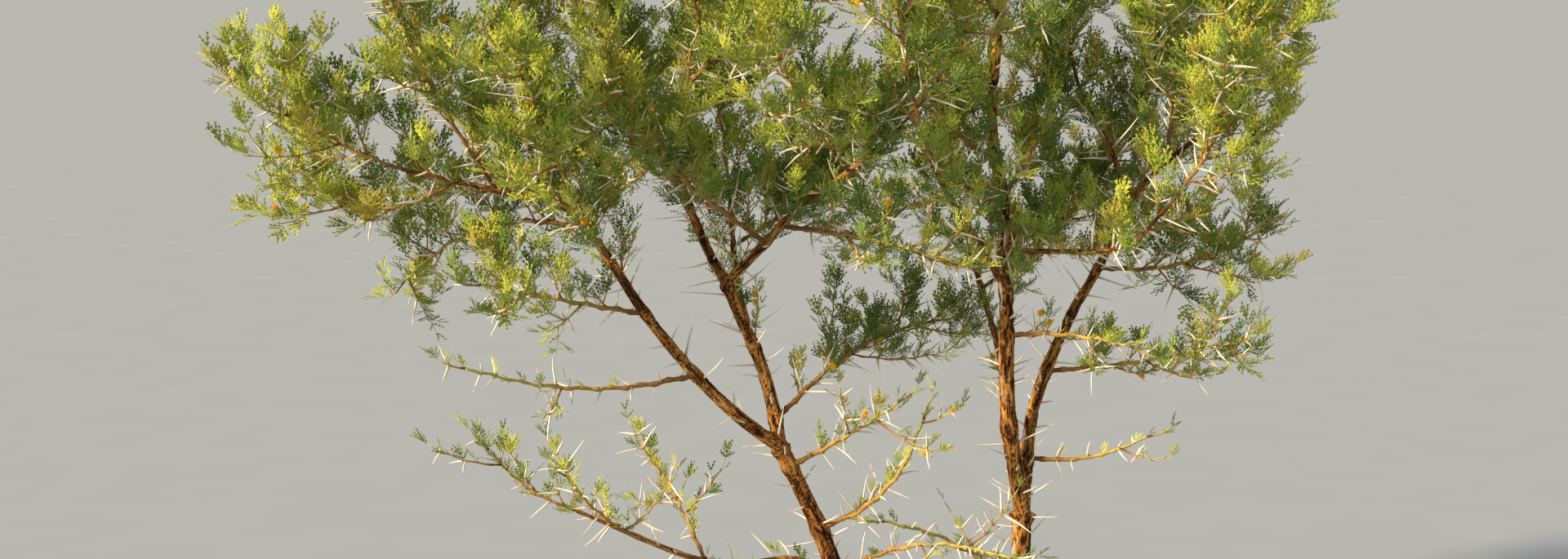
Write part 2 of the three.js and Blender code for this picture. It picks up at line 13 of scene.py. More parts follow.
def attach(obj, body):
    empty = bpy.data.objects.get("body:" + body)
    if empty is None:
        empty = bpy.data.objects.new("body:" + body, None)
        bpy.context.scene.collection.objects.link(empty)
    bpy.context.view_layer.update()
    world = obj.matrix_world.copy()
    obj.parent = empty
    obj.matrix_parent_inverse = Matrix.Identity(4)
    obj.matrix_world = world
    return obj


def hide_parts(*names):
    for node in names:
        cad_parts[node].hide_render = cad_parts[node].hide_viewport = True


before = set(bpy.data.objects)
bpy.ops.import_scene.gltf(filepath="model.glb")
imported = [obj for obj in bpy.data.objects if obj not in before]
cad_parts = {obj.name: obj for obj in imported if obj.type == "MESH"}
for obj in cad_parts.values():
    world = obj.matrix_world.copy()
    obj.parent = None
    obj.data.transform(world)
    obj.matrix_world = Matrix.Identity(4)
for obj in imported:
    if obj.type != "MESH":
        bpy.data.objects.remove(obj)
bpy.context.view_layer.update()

MM = 0.001
UP = np.array([0.0, 0.0, 1.0])
GOLDEN_TURN = 137.5
STEM, SHOOT, YOUNG = range(3)  # ranks of twigs: stems of masses, shoots, and the finest twigs on those

# The source's rule for foot, limbs and the shoots of a mass, in millimetres and degrees.
SEED = 4117
TWIG_SIDES = 3
LIMB_TAPER = 1.15
FLARE = 0.55
FLARE_HEIGHT = 75
DOME_HALVES = (86, 62, 66)
TOES = 6
TOE_REACH = 105
TOE_REACH_SWAY = 0.14
TOE_BEARING_SWAY = 17
TOE_SWAY_STEPS = {"bearing": 2.3, "reach": 1.7}  # radians from one toe to the next
TOE_HEIGHT = 85
TOE_COURSE = [(0.1, 1), (0.55, 0.4)]
TOE_DEPTH = 18
TOE_GIRTH = (26, 13)
BELOW_GROUND = 60
SPRAY_STEM_GIRTH = (6, 2.6)
SPRAY_STEM_SHARE = 0.8
SHOOT_SPACING = 76
SHOOTS_FROM = 0.14
SHOOT_LENGTH = 190
SHOOT_SHORTER = (1.15, 0.55)
SHOOT_SPREAD = (0.75, 1.25)
SHOOT_SLANT = (42, 66)
SHOOT_LIFT = 0.22
BLOSSOM_CHANCE = 0.07

# Each stem and bough: what carries it, how far along that it leaves or where it stands on the foot, its
# radius at both ends, and its runs as length, bearing in plan and climb above level.
LIMBS = [
    ("left_stem", "foot", (-52, -8, 0), (23, 13.5),
     [(400, 185, 70), (180, 191, 74), (100, 183, 68), (125, 178, 64)]),
    ("right_trunk", "foot", (52, 2, 0), (21.5, 17.5),
     [(380, 4, 81), (245, 13, 87)]),
    ("middle_stem", "right_trunk", 1, (15.5, 5.8),
     [(191, 210, 79), (195, 121, 87), (195, 127, 86), (160, 167, 82), (175, 23, 86), (240, 66, 87),
      (60, 24, 85)]),
    ("right_stem", "right_trunk", 1, (13, 3.6),
     [(191, 62, 76), (170, 22, 67), (125, 18, 59), (150, 19, 60), (100, 17, 46), (135, 10, 37),
      (70, 9, 47)]),
    ("left_bough", "left_stem", 1, (12, 4.2),
     [(110, 197, 38), (115, 198, 46), (135, 201, 51), (115, 198, 57), (125, 195, 52), (135, 193, 15),
      (150, 190, 13)]),
    ("centre_bough", "left_stem", 1, (12.5, 10),
     [(70, 129, 74), (95, 143, 70), (90, 158, 64), (65, 159, 65)]),
    ("leader", "centre_bough", 1, (9.5, 4),
     [(75, 151, 57), (140, 143, 61), (155, 146, 63), (160, 149, 64), (165, 142, 73)]),
    ("fork_bough", "centre_bough", 1, (9.5, 3.6),
     [(90, 342, 45), (135, 330, 43), (125, 326, 32), (115, 326, 38)]),
    ("upper_bough", "leader", 0.52, (5.5, 3.4),
     [(90, 323, 29), (125, 325, 32), (110, 329, 29)]),
    ("low_left_bough", "left_stem", 0.68, (8, 3.8),
     [(95, 201, 20), (105, 197, -1), (100, 195, 15), (215, 195, 26)]),
    ("side_bough", "middle_stem", 0.41, (6, 3.6),
     [(125, 317, 3), (135, 319, 8), (115, 311, 40)]),
    ("inner_bough", "right_stem", 0.67, (6.5, 3.6),
     [(140, 120, 55), (115, 126, 53), (90, 117, 64)]),
    ("back_left_bough", "centre_bough", 0.6, (7.5, 3.8),
     [(175, 104, 38), (185, 97, 45), (160, 100, 56)]),
    ("back_right_bough", "middle_stem", 0.14, (8, 3.8),
     [(185, 93, 42), (225, 106, 50), (190, 108, 59)]),
    ("front_bough", "middle_stem", 0.35, (7, 3.8),
     [(150, 238, 40), (180, 230, 45), (165, 236, 56)]),
]

# Each leafy mass: what carries it, how far along that its stem leaves, the length and bearing of the stem,
# its climb where it starts and where it ends, and how leafy it is.
MASSES = [
    ("far_left", "left_bough", 1, 300, 187, 22, 36, 1),
    ("left_end_low", "left_bough", 0.9, 295, 160, -24, 12, 1),
    ("left_end_top", "left_bough", 0.82, 430, 228, 52, 62, 1),
    ("left_back_top", "left_bough", 0.68, 480, 113, 38, 58, 1),
    ("left_front", "left_bough", 0.54, 440, 246, 44, 56, 1),
    ("left_under", "left_bough", 0.63, 400, 158, 2, -36, 0.9),
    ("left_shelf", "left_bough", 0.41, 310, 207, 12, 14, 0.9),
    ("left_thin", "left_bough", 0.24, 440, 208, -4, 16, 0.5),
    ("low_left_tip", "low_left_bough", 1, 190, 186, 24, 50, 0.6),
    ("low_left_front", "low_left_bough", 0.76, 230, 232, 30, 46, 0.55),
    ("low_left_back", "low_left_bough", 0.5, 300, 118, 36, 28, 0.6),
    ("leader_top", "leader", 1, 290, 150, 76, 88, 1.1),
    ("leader_left", "leader", 0.65, 420, 203, 46, 62, 1.1),
    ("leader_back", "leader", 0.24, 470, 118, 32, 50, 1),
    ("upper_tip", "upper_bough", 1, 380, 325, 46, 78, 1.1),
    ("upper_front", "upper_bough", 0.51, 440, 258, 48, 66, 1),
    ("fork_cross", "fork_bough", 0.24, 460, 217, 33, 42, 1),
    ("fork_tip", "fork_bough", 1, 340, 322, 48, 70, 1),
    ("fork_low", "fork_bough", 0.34, 350, 328, -4, -10, 0.8),
    ("fork_front", "fork_bough", 0.72, 420, 246, 28, 42, 1),
    ("cross_back", "centre_bough", 0.16, 500, 36, 33, 4, 0.8),
    ("stem_right", "left_stem", 0.95, 275, 324, 29, 34, 0.6),
    ("stem_low_up", "left_stem", 0.79, 320, 331, 28, 66, 0.5),
    ("stem_low_right", "left_stem", 0.67, 385, 325, 30, -2, 0.5),
    ("trunk_left", "right_trunk", 0.76, 320, 200, 42, 18, 0.5),
    ("middle_top", "middle_stem", 1, 210, 60, 84, 88, 1.1),
    ("middle_left", "middle_stem", 0.55, 300, 227, 20, 64, 1),
    ("middle_long", "middle_stem", 0.51, 330, 147, -12, -24, 0.8),
    ("middle_back", "middle_stem", 0.48, 400, 64, 34, 54, 1),
    ("middle_high", "middle_stem", 0.76, 400, 146, 55, 70, 1.1),
    ("middle_low", "middle_stem", 0.28, 260, 320, 8, -6, 0.7),
    ("right_tip", "right_stem", 1, 150, 20, 50, 80, 1),
    ("right_up", "right_stem", 0.78, 400, 268, 66, 76, 1.1),
    ("side_tip", "side_bough", 1, 360, 310, 50, 82, 1.1),
    ("inner_tip", "inner_bough", 1, 300, 90, 74, 84, 1),
    ("inner_back", "inner_bough", 0.35, 370, 54, 34, 48, 1),
    ("right_low", "right_stem", 0.29, 340, 340, 8, 16, 0.8),
    ("right_bare", "right_stem", 0.11, 230, 341, 2, 26, 0.35),
    ("right_shelf", "right_stem", 0.52, 350, 16, -2, 22, 0.9),
    ("back_left_tip", "back_left_bough", 1, 340, 107, 54, 68, 1.1),
    ("back_left_out", "back_left_bough", 0.5, 430, 38, 26, 44, 1),
    ("back_right_tip", "back_right_bough", 1, 380, 103, 58, 72, 1.1),
    ("back_right_out", "back_right_bough", 0.54, 460, 30, 30, 46, 1),
    ("front_tip", "front_bough", 1, 320, 250, 60, 76, 1),
]

# What goes beyond the source, in metres and degrees.
LINE_SPACING = 0.006  # between the drawn points of a limb
LINE_STEPS = 24  # from bend to bend, before the points are spaced evenly
BARK_VOXEL = 0.0033
BARK_SMOOTHING = {"factor": 0.5, "iterations": 2}
BARK_SIDES = 16
DOME_RINGS = 12
DOME_POLE = 0.003  # square of the share of its width that the foot's dome keeps at its poles
FISSURE_WIDTH = (0.0055, 0.45)  # at least, and as a share of the radius of a limb
FISSURE_LENGTH = 0.050
FISSURE_DEPTH = 0.17  # of the radius of a limb
FISSURE_DEEPEST = 0.0028
CRACK_EDGE, CRACK_DROP = 0.20, 1.25  # level of noise where a crack starts, and its depth in the relief
BREAK_EDGE, BREAK_DROP = 0.10, 0.45  # of the breaks across the plates
BREAK_WAVES, BREAK_SHIFT = 1.9, Vector((7.1, 3.3, 1.9))  # against those of the cracks
PLATE_WAVES, PLATE_SHIFT = 0.7, Vector((1.7, 9.2, 4.4))
PLATE_LEVEL, PLATE_SWELL = 0.35, 0.45  # of the plates in the relief
GRAIN_RISE = 0.5  # share of its height over the limb's line that counts as a corner's way along it
SMOOTH_BARK = (0.0045, 0.0095)  # radii between which bark turns from smooth to fissured
SMOOTH_RELIEF = 0.3  # of the relief, on smooth bark
KNOT_SWELL = 0.22  # of its radius, where something leaves a limb
KNOT_SPAN = 0.014

STEM_DRAWN = 0.8  # how thick the stem of a mass is drawn, as a share of the source's
GIRTHS = {SHOOT: (0.0018, 0.0009), YOUNG: (0.0010, 0.0005)}  # radii at both ends
SPACINGS = {SHOOT: 0.040, YOUNG: 0.029}  # of the twigs that the source leaves out
LENGTHS = {SHOOT: (0.060, 0.150), YOUNG: (0.042, 0.100)}
TIP_SHOOT = 0.050  # that carries the stem of a mass on past its tip
SIDE_STRETCH = (0.1, 0.88)  # start and length of the stretch with finer twigs
SIDE_SHORTER = (1.1, 0.5)  # of a twig's length at the start of its carrier, and how much less at the tip
SPARSE_REACH = 0.2  # of their length, on a mass just over SPARSE
SPARSE = 0.5  # up to this leafiness a mass has only the source's shoots and the one at its tip
TWIGGY = 0.7  # and above this one its shoots have young twigs
TWIG_SLANT = (34, 66)
TWIG_TURN_SPREAD = 50
TWIG_SAG = 0.07  # in the middle of a twig, of its length
TWIG_LIFT = 0.5  # how strongly twigs turn up to the light
SIDES = (6, 6, 4)  # of stems, of shoots and of young twigs
NODE_SPACING = (0.028, 0.024, 0.0155)  # along them, from one tuft of leaves to the next
NODES_FROM = (0.10, 0.16, 0.16)  # share of them that is bare at the start
NODE_STEPS = (2, 2, 1)  # of the drawn line, from node to node
NODE_SWELL = 0.42
NODE_HALF = 0.0045
ZIGZAG = (0.0022, 0.0017, 0.0008)
TIP_FROM = 0.97  # share of a twig from which a node is its tip
BOUGH_SPUR_SPACING = 0.050
BOUGH_SPUR_LENGTH = (0.05, 0.13)
LEAFY_GIRTH = 0.0085  # radius under which a bough has short shoots and leaves of its own
LEAFY_HEIGHTS = (0.65, 1.15)  # between which boughs grow from bare to leafy

CLEARANCE = 0.003  # between a limb and what passes it
TWIG_TESTS = (0.4, 0.6, 0.8, 1)  # shares of the way to its tip at which a twig has to be clear of limbs
SPUR_TESTS = (0.3, 0.6, 1)
SPUR_FREE = 0.030  # from the middle of its bough, where the way of a spur starts
LEAF_TESTS = (0.6, 1)
SHOOT_SPARE = 0.020  # that the tip of a shoot may reach past the space of its mass
TWIG_SPARE = 0.050

LEAVES_A_TUFT = (1.9, 1.7, 1.45)  # on stems, shoots and young twigs where leafiness is 1
LEAF_SIZES = (0.78, 1.22)
SPARSE_LEAF_SIZE = 0.35  # where leafiness is 0, as a share of the size where it is 1
LEAF_TURN = (130, 40)  # round the twig from one leaf of a tuft to the next, and by chance
SIDE_SLANTS = (26, 68)  # of a leaf from its twig
TIP_SLANTS = (8, 42)
LEAF_LIFT = 0.35
LEAF_ROLL_SPREAD = 76
LEVEL_NUDGE = (0.001, 0, 0)  # gives an upright leaf a level axis too
BARE_STRETCH = 0.3  # of the stem of a mass from its start: some nodes there have no leaves
BARE_CHANCE = 0.4
LIMB_NODE_SPACING = 0.034
LIMB_BARE_CHANCE = 0.3
LIMB_TUFT = (2, 3)  # fewest leaves right on a bough, and the spread of their number
LIMB_LEAF_SIZE = 0.8

LEAF_PAIRS = (2, 3, 4, 4)  # of pinnae, in each shape of leaf
RACHIS_LENGTH = 0.026
RACHIS_WIDTH = 0.0011
PINNA_LENGTH = 0.0235
PINNA_WIDTH = 0.0084
PINNA_END_WIDTH = 0.62  # of its width, at its ends
PINNA_WIDEST_POWER = 0.85  # of the share along it: under 1, it is widest nearer its root
PINNA_TEETH = 3
TOOTH_LEAN = 0.7  # of the tip of a tooth towards the tip of its pinna, of the length of a tooth
TOOTH_LIFT = 0.28  # of the tip of a tooth, of its reach: the blade is folded along its middle
PINNA_SAG = 0.10
PINNA_PLACES = (0.25, 1.0)  # along the rachis, of the first and the last pair
LONGEST_PLACE = 0.6  # of the longest pinnae
PINNA_SHORTER = 0.35  # of their length, lost a whole rachis away from there
PINNA_TURNS = (58, 20)  # from the line of the rachis, at its start and its tip
PINNA_TURN_SPREAD = 16
PINNA_TILT, PINNA_TILT_SPREAD = -16, 26
PINNA_ROLL_SPREAD = 36
SIZE_SPAN = (0.85, 0.3)  # least size, and spread, of a pinna, thorn or blossom among its kind

THORN_LENGTH = (0.027, 0.076)
THORN_SHORTNESS = 1.25  # above 1 there are more short ones than long ones
THORN_RADIUS = 0.0021
THORN_GIRTH_SPAN = (0.75, 0.5)
THORN_WIDTHS = [(0.0, 1.6), (0.08, 1.0), (0.55, 0.72), (1.0, 0.06)]  # along it, of its radius
THORN_SIDES = 4
THORN_BOW = 0.035
THORN_ROOT = 0.6  # how far out of the middle of its twig it starts, of the radius of the twig
THORN_SLANT_SPAN = (55, 25)
PAIR_TURN_SPAN = (130, 50)  # round the twig, between the two of a pair
LEAF_TO_THORN_TURN = 60
THORNS_FROM = 0.25  # height above the ground
THORN_CHANCE = 0.95  # of a pair at one node where leafiness is 1
SPARSE_THORN_CHANCE = 0.75  # and where it is 0
LIMB_THORN_CHANCE = 0.85
THORN_SCALES = (1.05, 0.95)  # on stems and on shoots
THORN_SHORTER = (1.1, 0.4)  # of its length at the start of a twig, and how much less at the tip
LIMB_THORN_SCALE = 1.25

BLOSSOM_RADIUS = 0.0068
BLOSSOM_SHARE = 0.10  # of the stems and shoots that have none by the source's draws
MOST_BLOSSOMS = 2  # on one shoot
BLOSSOM_STRETCH = (0.5, 0.45)  # of a shoot, where they stand: its start and its length
OLD_BLOSSOMS = 0.28  # share that is old
OLD_BLOSSOM_SIZE = 0.85
HAIRS = 90
HAIR_WIDTH = 0.16  # this and the next two lines are shares of the radius of the head
HAIR_ROOT = 0.5
HAIR_TIP, HAIR_TIP_SWAY = 0.92, 0.14
HAIR_SWAY_STEP = 2.7  # radians from one hair to the next
HAIR_TURN = 47
STALK_LENGTH = (0.010, 0.016)
STALK_RADIUS = 0.0005
STALK_SIDES = 4
STALK_SLANT = 75
STALK_LIFT = 0.6

# The crown's middle and half reach, for painted light and shade on the leaves: sprays are painted lighter
# towards its outside and darker within, and the middle stands to the right so that the left side, towards
# the key light, comes out lighter.
CROWN_MIDDLE = np.array([-0.12, 0.05, 1.22])
CROWN_REACH = np.array([0.95, 0.50, 0.80])
TINT_START, TINT_RISE = 0.13, 0.55  # the mark of a spray in the middle, and how much more at the outside
TINT_SPREAD = 0.9
TINT_LIMITS = {"sunny": 0.84, "fresh": 0.60, "green": 0.36}  # marks that these sprays pass; the rest get the darkest grade, painted shade
OLIVE_CHANCE = 0.08

# Colours: of leaves, and along twigs, thorns and the height of the bark's relief as place and colour.
# From sunny down to the darkest: lit and shaded grades of the leaves' green, painted light and shade by
# where a spray stands in the crown, with a random spread between sprays as well; olive is a leaf colour of
# its own.
LEAF_COLORS = {
    "sunny": (0.47, 0.51, 0.070),
    "fresh": (0.36, 0.43, 0.060),
    "green": (0.24, 0.32, 0.050),
    "deep_shade": (0.155, 0.232, 0.048),
    "olive": (0.42, 0.37, 0.060),
}
LEAF_SHADES = (0.76, 1.18)  # darkest and lightest of a leaf's colour
NOISE_SPAN = (0.3, 0.7)  # values of noise at which a mottled colour is at its ends
OLD_BARK = [(0.0, (0.020, 0.008, 0.003)), (0.42, (0.13, 0.048, 0.012)), (0.66, (0.46, 0.205, 0.042)),
            (1.0, (0.74, 0.42, 0.13))]
YOUNG_BARK = [(0.0, (0.19, 0.078, 0.022)), (0.7, (0.46, 0.22, 0.060))]
BARK_CRACKS = [(0.43, (1, 1, 1)), (0.49, (0.24, 0.17, 0.13)), (0.55, (1, 1, 1))]
BARK_PATCHES = [(0.40, (1, 1, 1)), (0.64, (0.44, 0.36, 0.30))]
BARK_RELIEF = (-0.9, 0.6)  # that the colours of the bark run over
OLD_WOOD = [(0.0, (0.19, 0.085, 0.026)), (0.25, (0.45, 0.23, 0.055)), (0.6, (0.60, 0.42, 0.08)),
            (1.0, (0.52, 0.50, 0.09))]
YOUNG_WOOD = [(0.0, (0.50, 0.30, 0.06)), (0.5, (0.50, 0.42, 0.07)), (1.0, (0.36, 0.42, 0.06))]
WOOD_SHADES = [(0.3, (0.55, 0.55, 0.55)), (0.7, (1, 1, 1))]
THORN_COLORS = [(0.0, (0.34, 0.17, 0.06)), (0.09, (0.66, 0.50, 0.33)), (0.22, (0.86, 0.80, 0.70)),
                (0.88, (0.88, 0.84, 0.76)), (1.0, (0.35, 0.18, 0.08))]
THORN_SHADES = [(0.25, (0.84, 0.82, 0.82)), (0.6, (1, 1, 1))]
BLOSSOM_COLORS = [(0.80, 0.42, 0.01), (0.95, 0.62, 0.03)]
OLD_BLOSSOM_COLORS = [(0.36, 0.13, 0.02), (0.62, 0.27, 0.03)]

# The camera stands at eye height and looks a little down, as in the photograph.
EYE = (-0.322, -3.4, 1.455)
AIM = (-0.322, 0.0, 1.061)
LENS = 42.8
SENSOR = 36.0
SIGHT = 100  # how far the camera sees

KEY_LIGHT = {"toward": (-0.80, -0.50, 0.50), "strength": 6.4, "angle": 5, "color": (1.0, 0.80, 0.52)}
BACK_LIGHT = {"toward": (0.60, 0.75, 0.60), "strength": 1.6, "angle": 15, "color": (1.0, 0.92, 0.80)}
FLOOR_RADIUS = 150.0
FLOOR_SIDES = 72
BACKDROP = (0.49, 0.48, 0.44)  # what the lit floor sends to the camera, so that the floor has no edge
FLOOR_COLOR = (0.285, 0.322, 0.382)
FLOOR_SHADES = (0.98, 1.02)

# Each use of chance has draws of its own, from SEED times its number here; the first is the source's.
STREAMS = {"shoots": 1, "shoot_lines": 3, "masses": 7, "leaves": 11, "leaf_shapes": 13, "limb_thorns": 17,
           "thorns": 19, "blossoms": 23, "limb_leaves": 29, "spurs": 31, "tip_shoots": 37}


# Directions and draws.

def mix(pair, share):
    return pair[0] + (pair[1] - pair[0]) * share


def rise(value, limits):
    """How far a value is on its way from one limit to the other, from 0 to 1."""
    return np.clip((value - limits[0]) / (limits[1] - limits[0]), 0, 1)


def unit(vector):
    return vector / np.linalg.norm(vector)


def heading(bearing, climb):
    level = math.cos(math.radians(climb))
    x = level * math.cos(math.radians(bearing))
    y = level * math.sin(math.radians(bearing))
    return np.array([x, y, math.sin(math.radians(climb))])


def draws_from(seed):
    """A repeatable run of draws between 0 and 1, the same as in the source."""
    state = seed & 0xFFFFFFFF
    while True:
        state = (state + 0x6D2B79F5) & 0xFFFFFFFF
        word = ((state ^ (state >> 15)) * (state | 1)) & 0xFFFFFFFF
        word ^= (word + ((word ^ (word >> 7)) * (word | 61) & 0xFFFFFFFF)) & 0xFFFFFFFF
        yield ((word ^ (word >> 14)) & 0xFFFFFFFF) / 4294967296


def draws_for(stream, number=0):
    """The draws for one use of chance on one thing."""
    return draws_from(SEED * STREAMS[stream] + number)


def drawn(span, draws):
    """A draw from a span that is given as its start and its length."""
    return span[0] + span[1] * next(draws)


def swayed(spread, draws):
    """A draw from a span of some length with 0 in its middle."""
    return spread * (next(draws) - 0.5)


def least_axis(direction):
    axis = np.zeros(3)
    axis[int(np.argmin(np.abs(direction)))] = 1.0
    return axis


def turned(ahead, level, turn):
    """The direction square to a run that is turned round it by an angle."""
    right = unit(np.cross(level, ahead))
    over = np.cross(ahead, right)
    return right * math.cos(math.radians(turn)) + over * math.sin(math.radians(turn))


def leaving(ahead, level, turn, slant):
    side = turned(ahead, level, turn)
    return ahead * math.cos(math.radians(slant)) + side * math.sin(math.radians(slant))


def face_turn(count):
    return 90 + count * 360 / TWIG_SIDES


# Courses: the bent path of each limb and mass, and the smooth line that is drawn through it.

def smooth_line(points):
    """Evenly spaced points on a rounded line through the given ones."""
    before = 2 * points[0] - points[1]
    after = 2 * points[-1] - points[-2]
    knots = np.vstack([before, points, after])
    t = np.linspace(0, 1, LINE_STEPS, endpoint=False)[:, None]
    pieces = []
    for i in range(1, len(knots) - 2):
        a, b, c, d = knots[i - 1:i + 3]
        bend = (2 * a - 5 * b + 4 * c - d) * t ** 2 + (3 * b - a - 3 * c + d) * t ** 3
        pieces.append(b + 0.5 * ((c - a) * t + bend))
    dense = np.vstack(pieces + [points[-1:]])
    steps = np.linalg.norm(np.diff(dense, axis=0), axis=1)
    lengths = np.concatenate([[0], np.cumsum(steps)])
    even = np.linspace(0, lengths[-1], max(3, round(lengths[-1] / LINE_SPACING) + 1))
    return np.stack([np.interp(even, lengths, dense[:, axis]) for axis in range(3)], axis=1)


def along_line(line, share):
    """The place at a share of an evenly spaced line, and the direction ahead there."""
    along = share * (len(line) - 1)
    first = min(int(along), len(line) - 2)
    leg = line[first + 1] - line[first]
    return line[first] + leg * (along - first), unit(leg)


class Course:
    """A limb, or the stem of a mass: its bent path, its smooth line and its radius along them."""

    def __init__(self, name, points, girth, is_limb, is_flared=False):
        self.name = name
        self.points = points
        steps = np.linalg.norm(np.diff(points, axis=0), axis=1)
        self.bends = np.concatenate([[0], np.cumsum(steps)])
        self.length = self.bends[-1]
        self.girth = girth
        self.is_limb = is_limb
        self.is_flared = is_flared
        self.level = least_axis(points[-1] - points[0])
        self.line = smooth_line(points)
        self.marks = []

    def at(self, share):
        """The place at a share of the bent path, and the direction ahead there."""
        along = share * self.length
        leg = min(int(np.searchsorted(self.bends, along, side="right")), len(self.points) - 1) - 1
        ahead = unit(self.points[leg + 1] - self.points[leg])
        return self.points[leg] + ahead * (along - self.bends[leg]), ahead

    def radius_at(self, share):
        plain = mix(self.girth, max(share, 0) ** LIMB_TAPER if self.is_limb else share)
        if self.is_flared:
            plain *= 1 + FLARE * math.exp(-share * self.length / (FLARE_HEIGHT * MM))
        return plain

    def radii(self):
        return np.array([self.radius_at(share) for share in np.linspace(0, 1, len(self.line))])


def course_points(start, runs):
    points = [np.array(start, float)]
    for length, bearing, climb in runs:
        points.append(points[-1] + heading(bearing, climb) * length * MM)
    return np.array(points)


def plan_courses():
    courses = {}
    for name, on, place, girth, runs in LIMBS:
        is_flared = on == "foot"
        start = np.array(place) * MM if is_flared else courses[on].at(place)[0]
        girth = (girth[0] * MM, girth[1] * MM)
        courses[name] = Course(name, course_points(start, runs), girth, True, is_flared)
        if not is_flared:
            courses[on].marks.append(place)
    for short, on, at, length, bearing, climb, climb_at_tip, _ in MASSES:
        runs = [(length / 3, bearing, mix((climb, climb_at_tip), share)) for share in (0, 0.5, 1)]
        carrier = courses[on]
        start = min(SPRAY_STEM_GIRTH[0] * MM, SPRAY_STEM_SHARE * carrier.radius_at(at))
        girth = (start, min(SPRAY_STEM_GIRTH[1] * MM, start))
        name = "leaves_" + short
        courses[name] = Course(name, course_points(carrier.at(at)[0], runs), girth, False)
        carrier.marks.append(at)
    return courses


# Meshes made from arrays.

class Heap:
    """The corners and faces of many small shapes that end up in one mesh, with each corner's place."""

    def __init__(self):
        self.corners = []
        self.faces = []
        self.places = []
        self.count = 0

    def add(self, corners, faces, places=None):
        self.corners.append(corners)
        self.faces.append(faces + self.count)
        self.places.append(np.zeros(len(corners)) if places is None else places)
        self.count += len(corners)


def add_values(mesh, name, values):
    kind, field = ("FLOAT", "value") if values.ndim == 1 else ("FLOAT_VECTOR", "vector")
    layer = mesh.attributes.new(name, kind, "POINT")
    layer.data.foreach_set(field, values.astype(np.float32).ravel())


def heap_object(name, heap, smooth):
    corners = np.vstack(heap.corners)
    faces = np.vstack(heap.faces)
    mesh = bpy.data.meshes.new(name)
    mesh.from_pydata(corners, [], faces)
    mesh.polygons.foreach_set("use_smooth", np.full(len(faces), smooth))
    add_values(mesh, "place", np.concatenate(heap.places))
    mesh.validate()
    obj = bpy.data.objects.new(name, mesh)
    bpy.context.scene.collection.objects.link(obj)
    return obj


def frames_along(line):
    """Two steady directions square to a line at each of its points."""
    ahead = np.gradient(line, axis=0)
    ahead /= np.linalg.norm(ahead, axis=1)[:, None]
    right = np.cross(least_axis(line[-1] - line[0]), ahead)
    right /= np.linalg.norm(right, axis=1)[:, None]
    return right, np.cross(ahead, right)


def tube(line, radii, sides):
    """Corners, faces and place along it of a closed tapering tube with an even number of sides."""
    right, over = frames_along(line)
    angles = np.arange(sides) * 2 * math.pi / sides
    ring = right[:, None] * np.cos(angles)[None, :, None] + over[:, None] * np.sin(angles)[None, :, None]
    corners = (line[:, None] + ring * radii[:, None, None]).reshape(-1, 3)
    rows = np.arange(len(line) - 1)[:, None] * sides
    cols = np.arange(sides)[None, :]
    nexts = (cols + 1) % sides
    walls = np.stack([rows + cols, rows + nexts, rows + sides + nexts, rows + sides + cols], axis=-1)
    first = np.array([[0, i + 2, i + 1, i] for i in range(1, sides - 1, 2)])
    last = first[:, ::-1] + (len(line) - 1) * sides
    faces = np.vstack([walls.reshape(-1, 4), first, last])
    return corners, faces, np.repeat(np.linspace(0, 1, len(line)), sides)


# Bark: the foot, stems and boughs as one body with fissures, smoothed where they join.

def rough_limb(heap, course):
    shares = np.linspace(0, 1, len(course.line))
    radii = course.radii()
    line = course.line
    for at in course.marks:
        radii *= 1 + KNOT_SWELL * np.exp(-((shares - at) * course.length / KNOT_SPAN) ** 2)
    if course.is_flared:
        below = line[0] - unit(line[1] - line[0]) * BELOW_GROUND * MM
        line = np.vstack([below, line])
        radii = np.concatenate([radii[:1], radii])
    heap.add(*tube(line, radii, BARK_SIDES))


def rough_toes(heap):
    """The ridges where the roots start, by the source's rule."""
    for i in range(TOES):
        bearing = i * 360 / TOES + TOE_BEARING_SWAY * math.sin(i * TOE_SWAY_STEPS["bearing"])
        reach = TOE_REACH * (1 - TOE_REACH_SWAY * (1 - math.cos(i * TOE_SWAY_STEPS["reach"])))
        course = [(out, up * TOE_HEIGHT) for out, up in TOE_COURSE] + [(1, -TOE_DEPTH)]
        points = np.array([heading(bearing, 0) * reach * out + UP * up for out, up in course]) * MM
        line = smooth_line(points)
        radii = mix(TOE_GIRTH, np.linspace(0, 1, len(line))) * MM
        heap.add(*tube(line, radii, BARK_SIDES))


def rough_dome(heap):
    """The middle of the foot, from which stems and roots start."""
    heights = np.linspace(-1, 1, DOME_RINGS)
    line = UP[None] * (heights * DOME_HALVES[2] * MM)[:, None]
    corners, faces, _ = tube(line, np.sqrt(np.maximum(1 - heights ** 2, DOME_POLE)), BARK_SIDES)
    corners[:, :2] *= np.array(DOME_HALVES[:2]) * MM
    heap.add(corners, faces)


def settle(obj, modifiers):
    """Gives an object its mesh as modifiers leave it, and takes them off."""
    for kind, settings in modifiers:
        modifier = obj.modifiers.new(kind, kind)
        for name, value in settings.items():
            setattr(modifier, name, value)
    depsgraph = bpy.context.evaluated_depsgraph_get()
    mesh = bpy.data.meshes.new_from_object(obj.evaluated_get(depsgraph))
    obj.modifiers.clear()
    obj.data = mesh


def noise_edge(place, edge):
    """1 where noise passes through 0, and falling to 0 where it reaches an edge."""
    return max(0, 1 - abs(noise.noise(place)) / edge)


def bark_pattern(grain, radius):
    """Relief from about -1 in a fissure to 0.6 on a plate: cracks that wander along a limb."""
    width = max(FISSURE_WIDTH[0], FISSURE_WIDTH[1] * radius)
    place = Vector((grain[0] / width, grain[1] / width, grain[2] / FISSURE_LENGTH))
    crack = noise_edge(place, CRACK_EDGE)
    breaks = noise_edge(place * BREAK_WAVES + BREAK_SHIFT, BREAK_EDGE)
    plates = noise.noise(place * PLATE_WAVES + PLATE_SHIFT)
    return PLATE_LEVEL + PLATE_SWELL * plates - CRACK_DROP * crack - BREAK_DROP * breaks


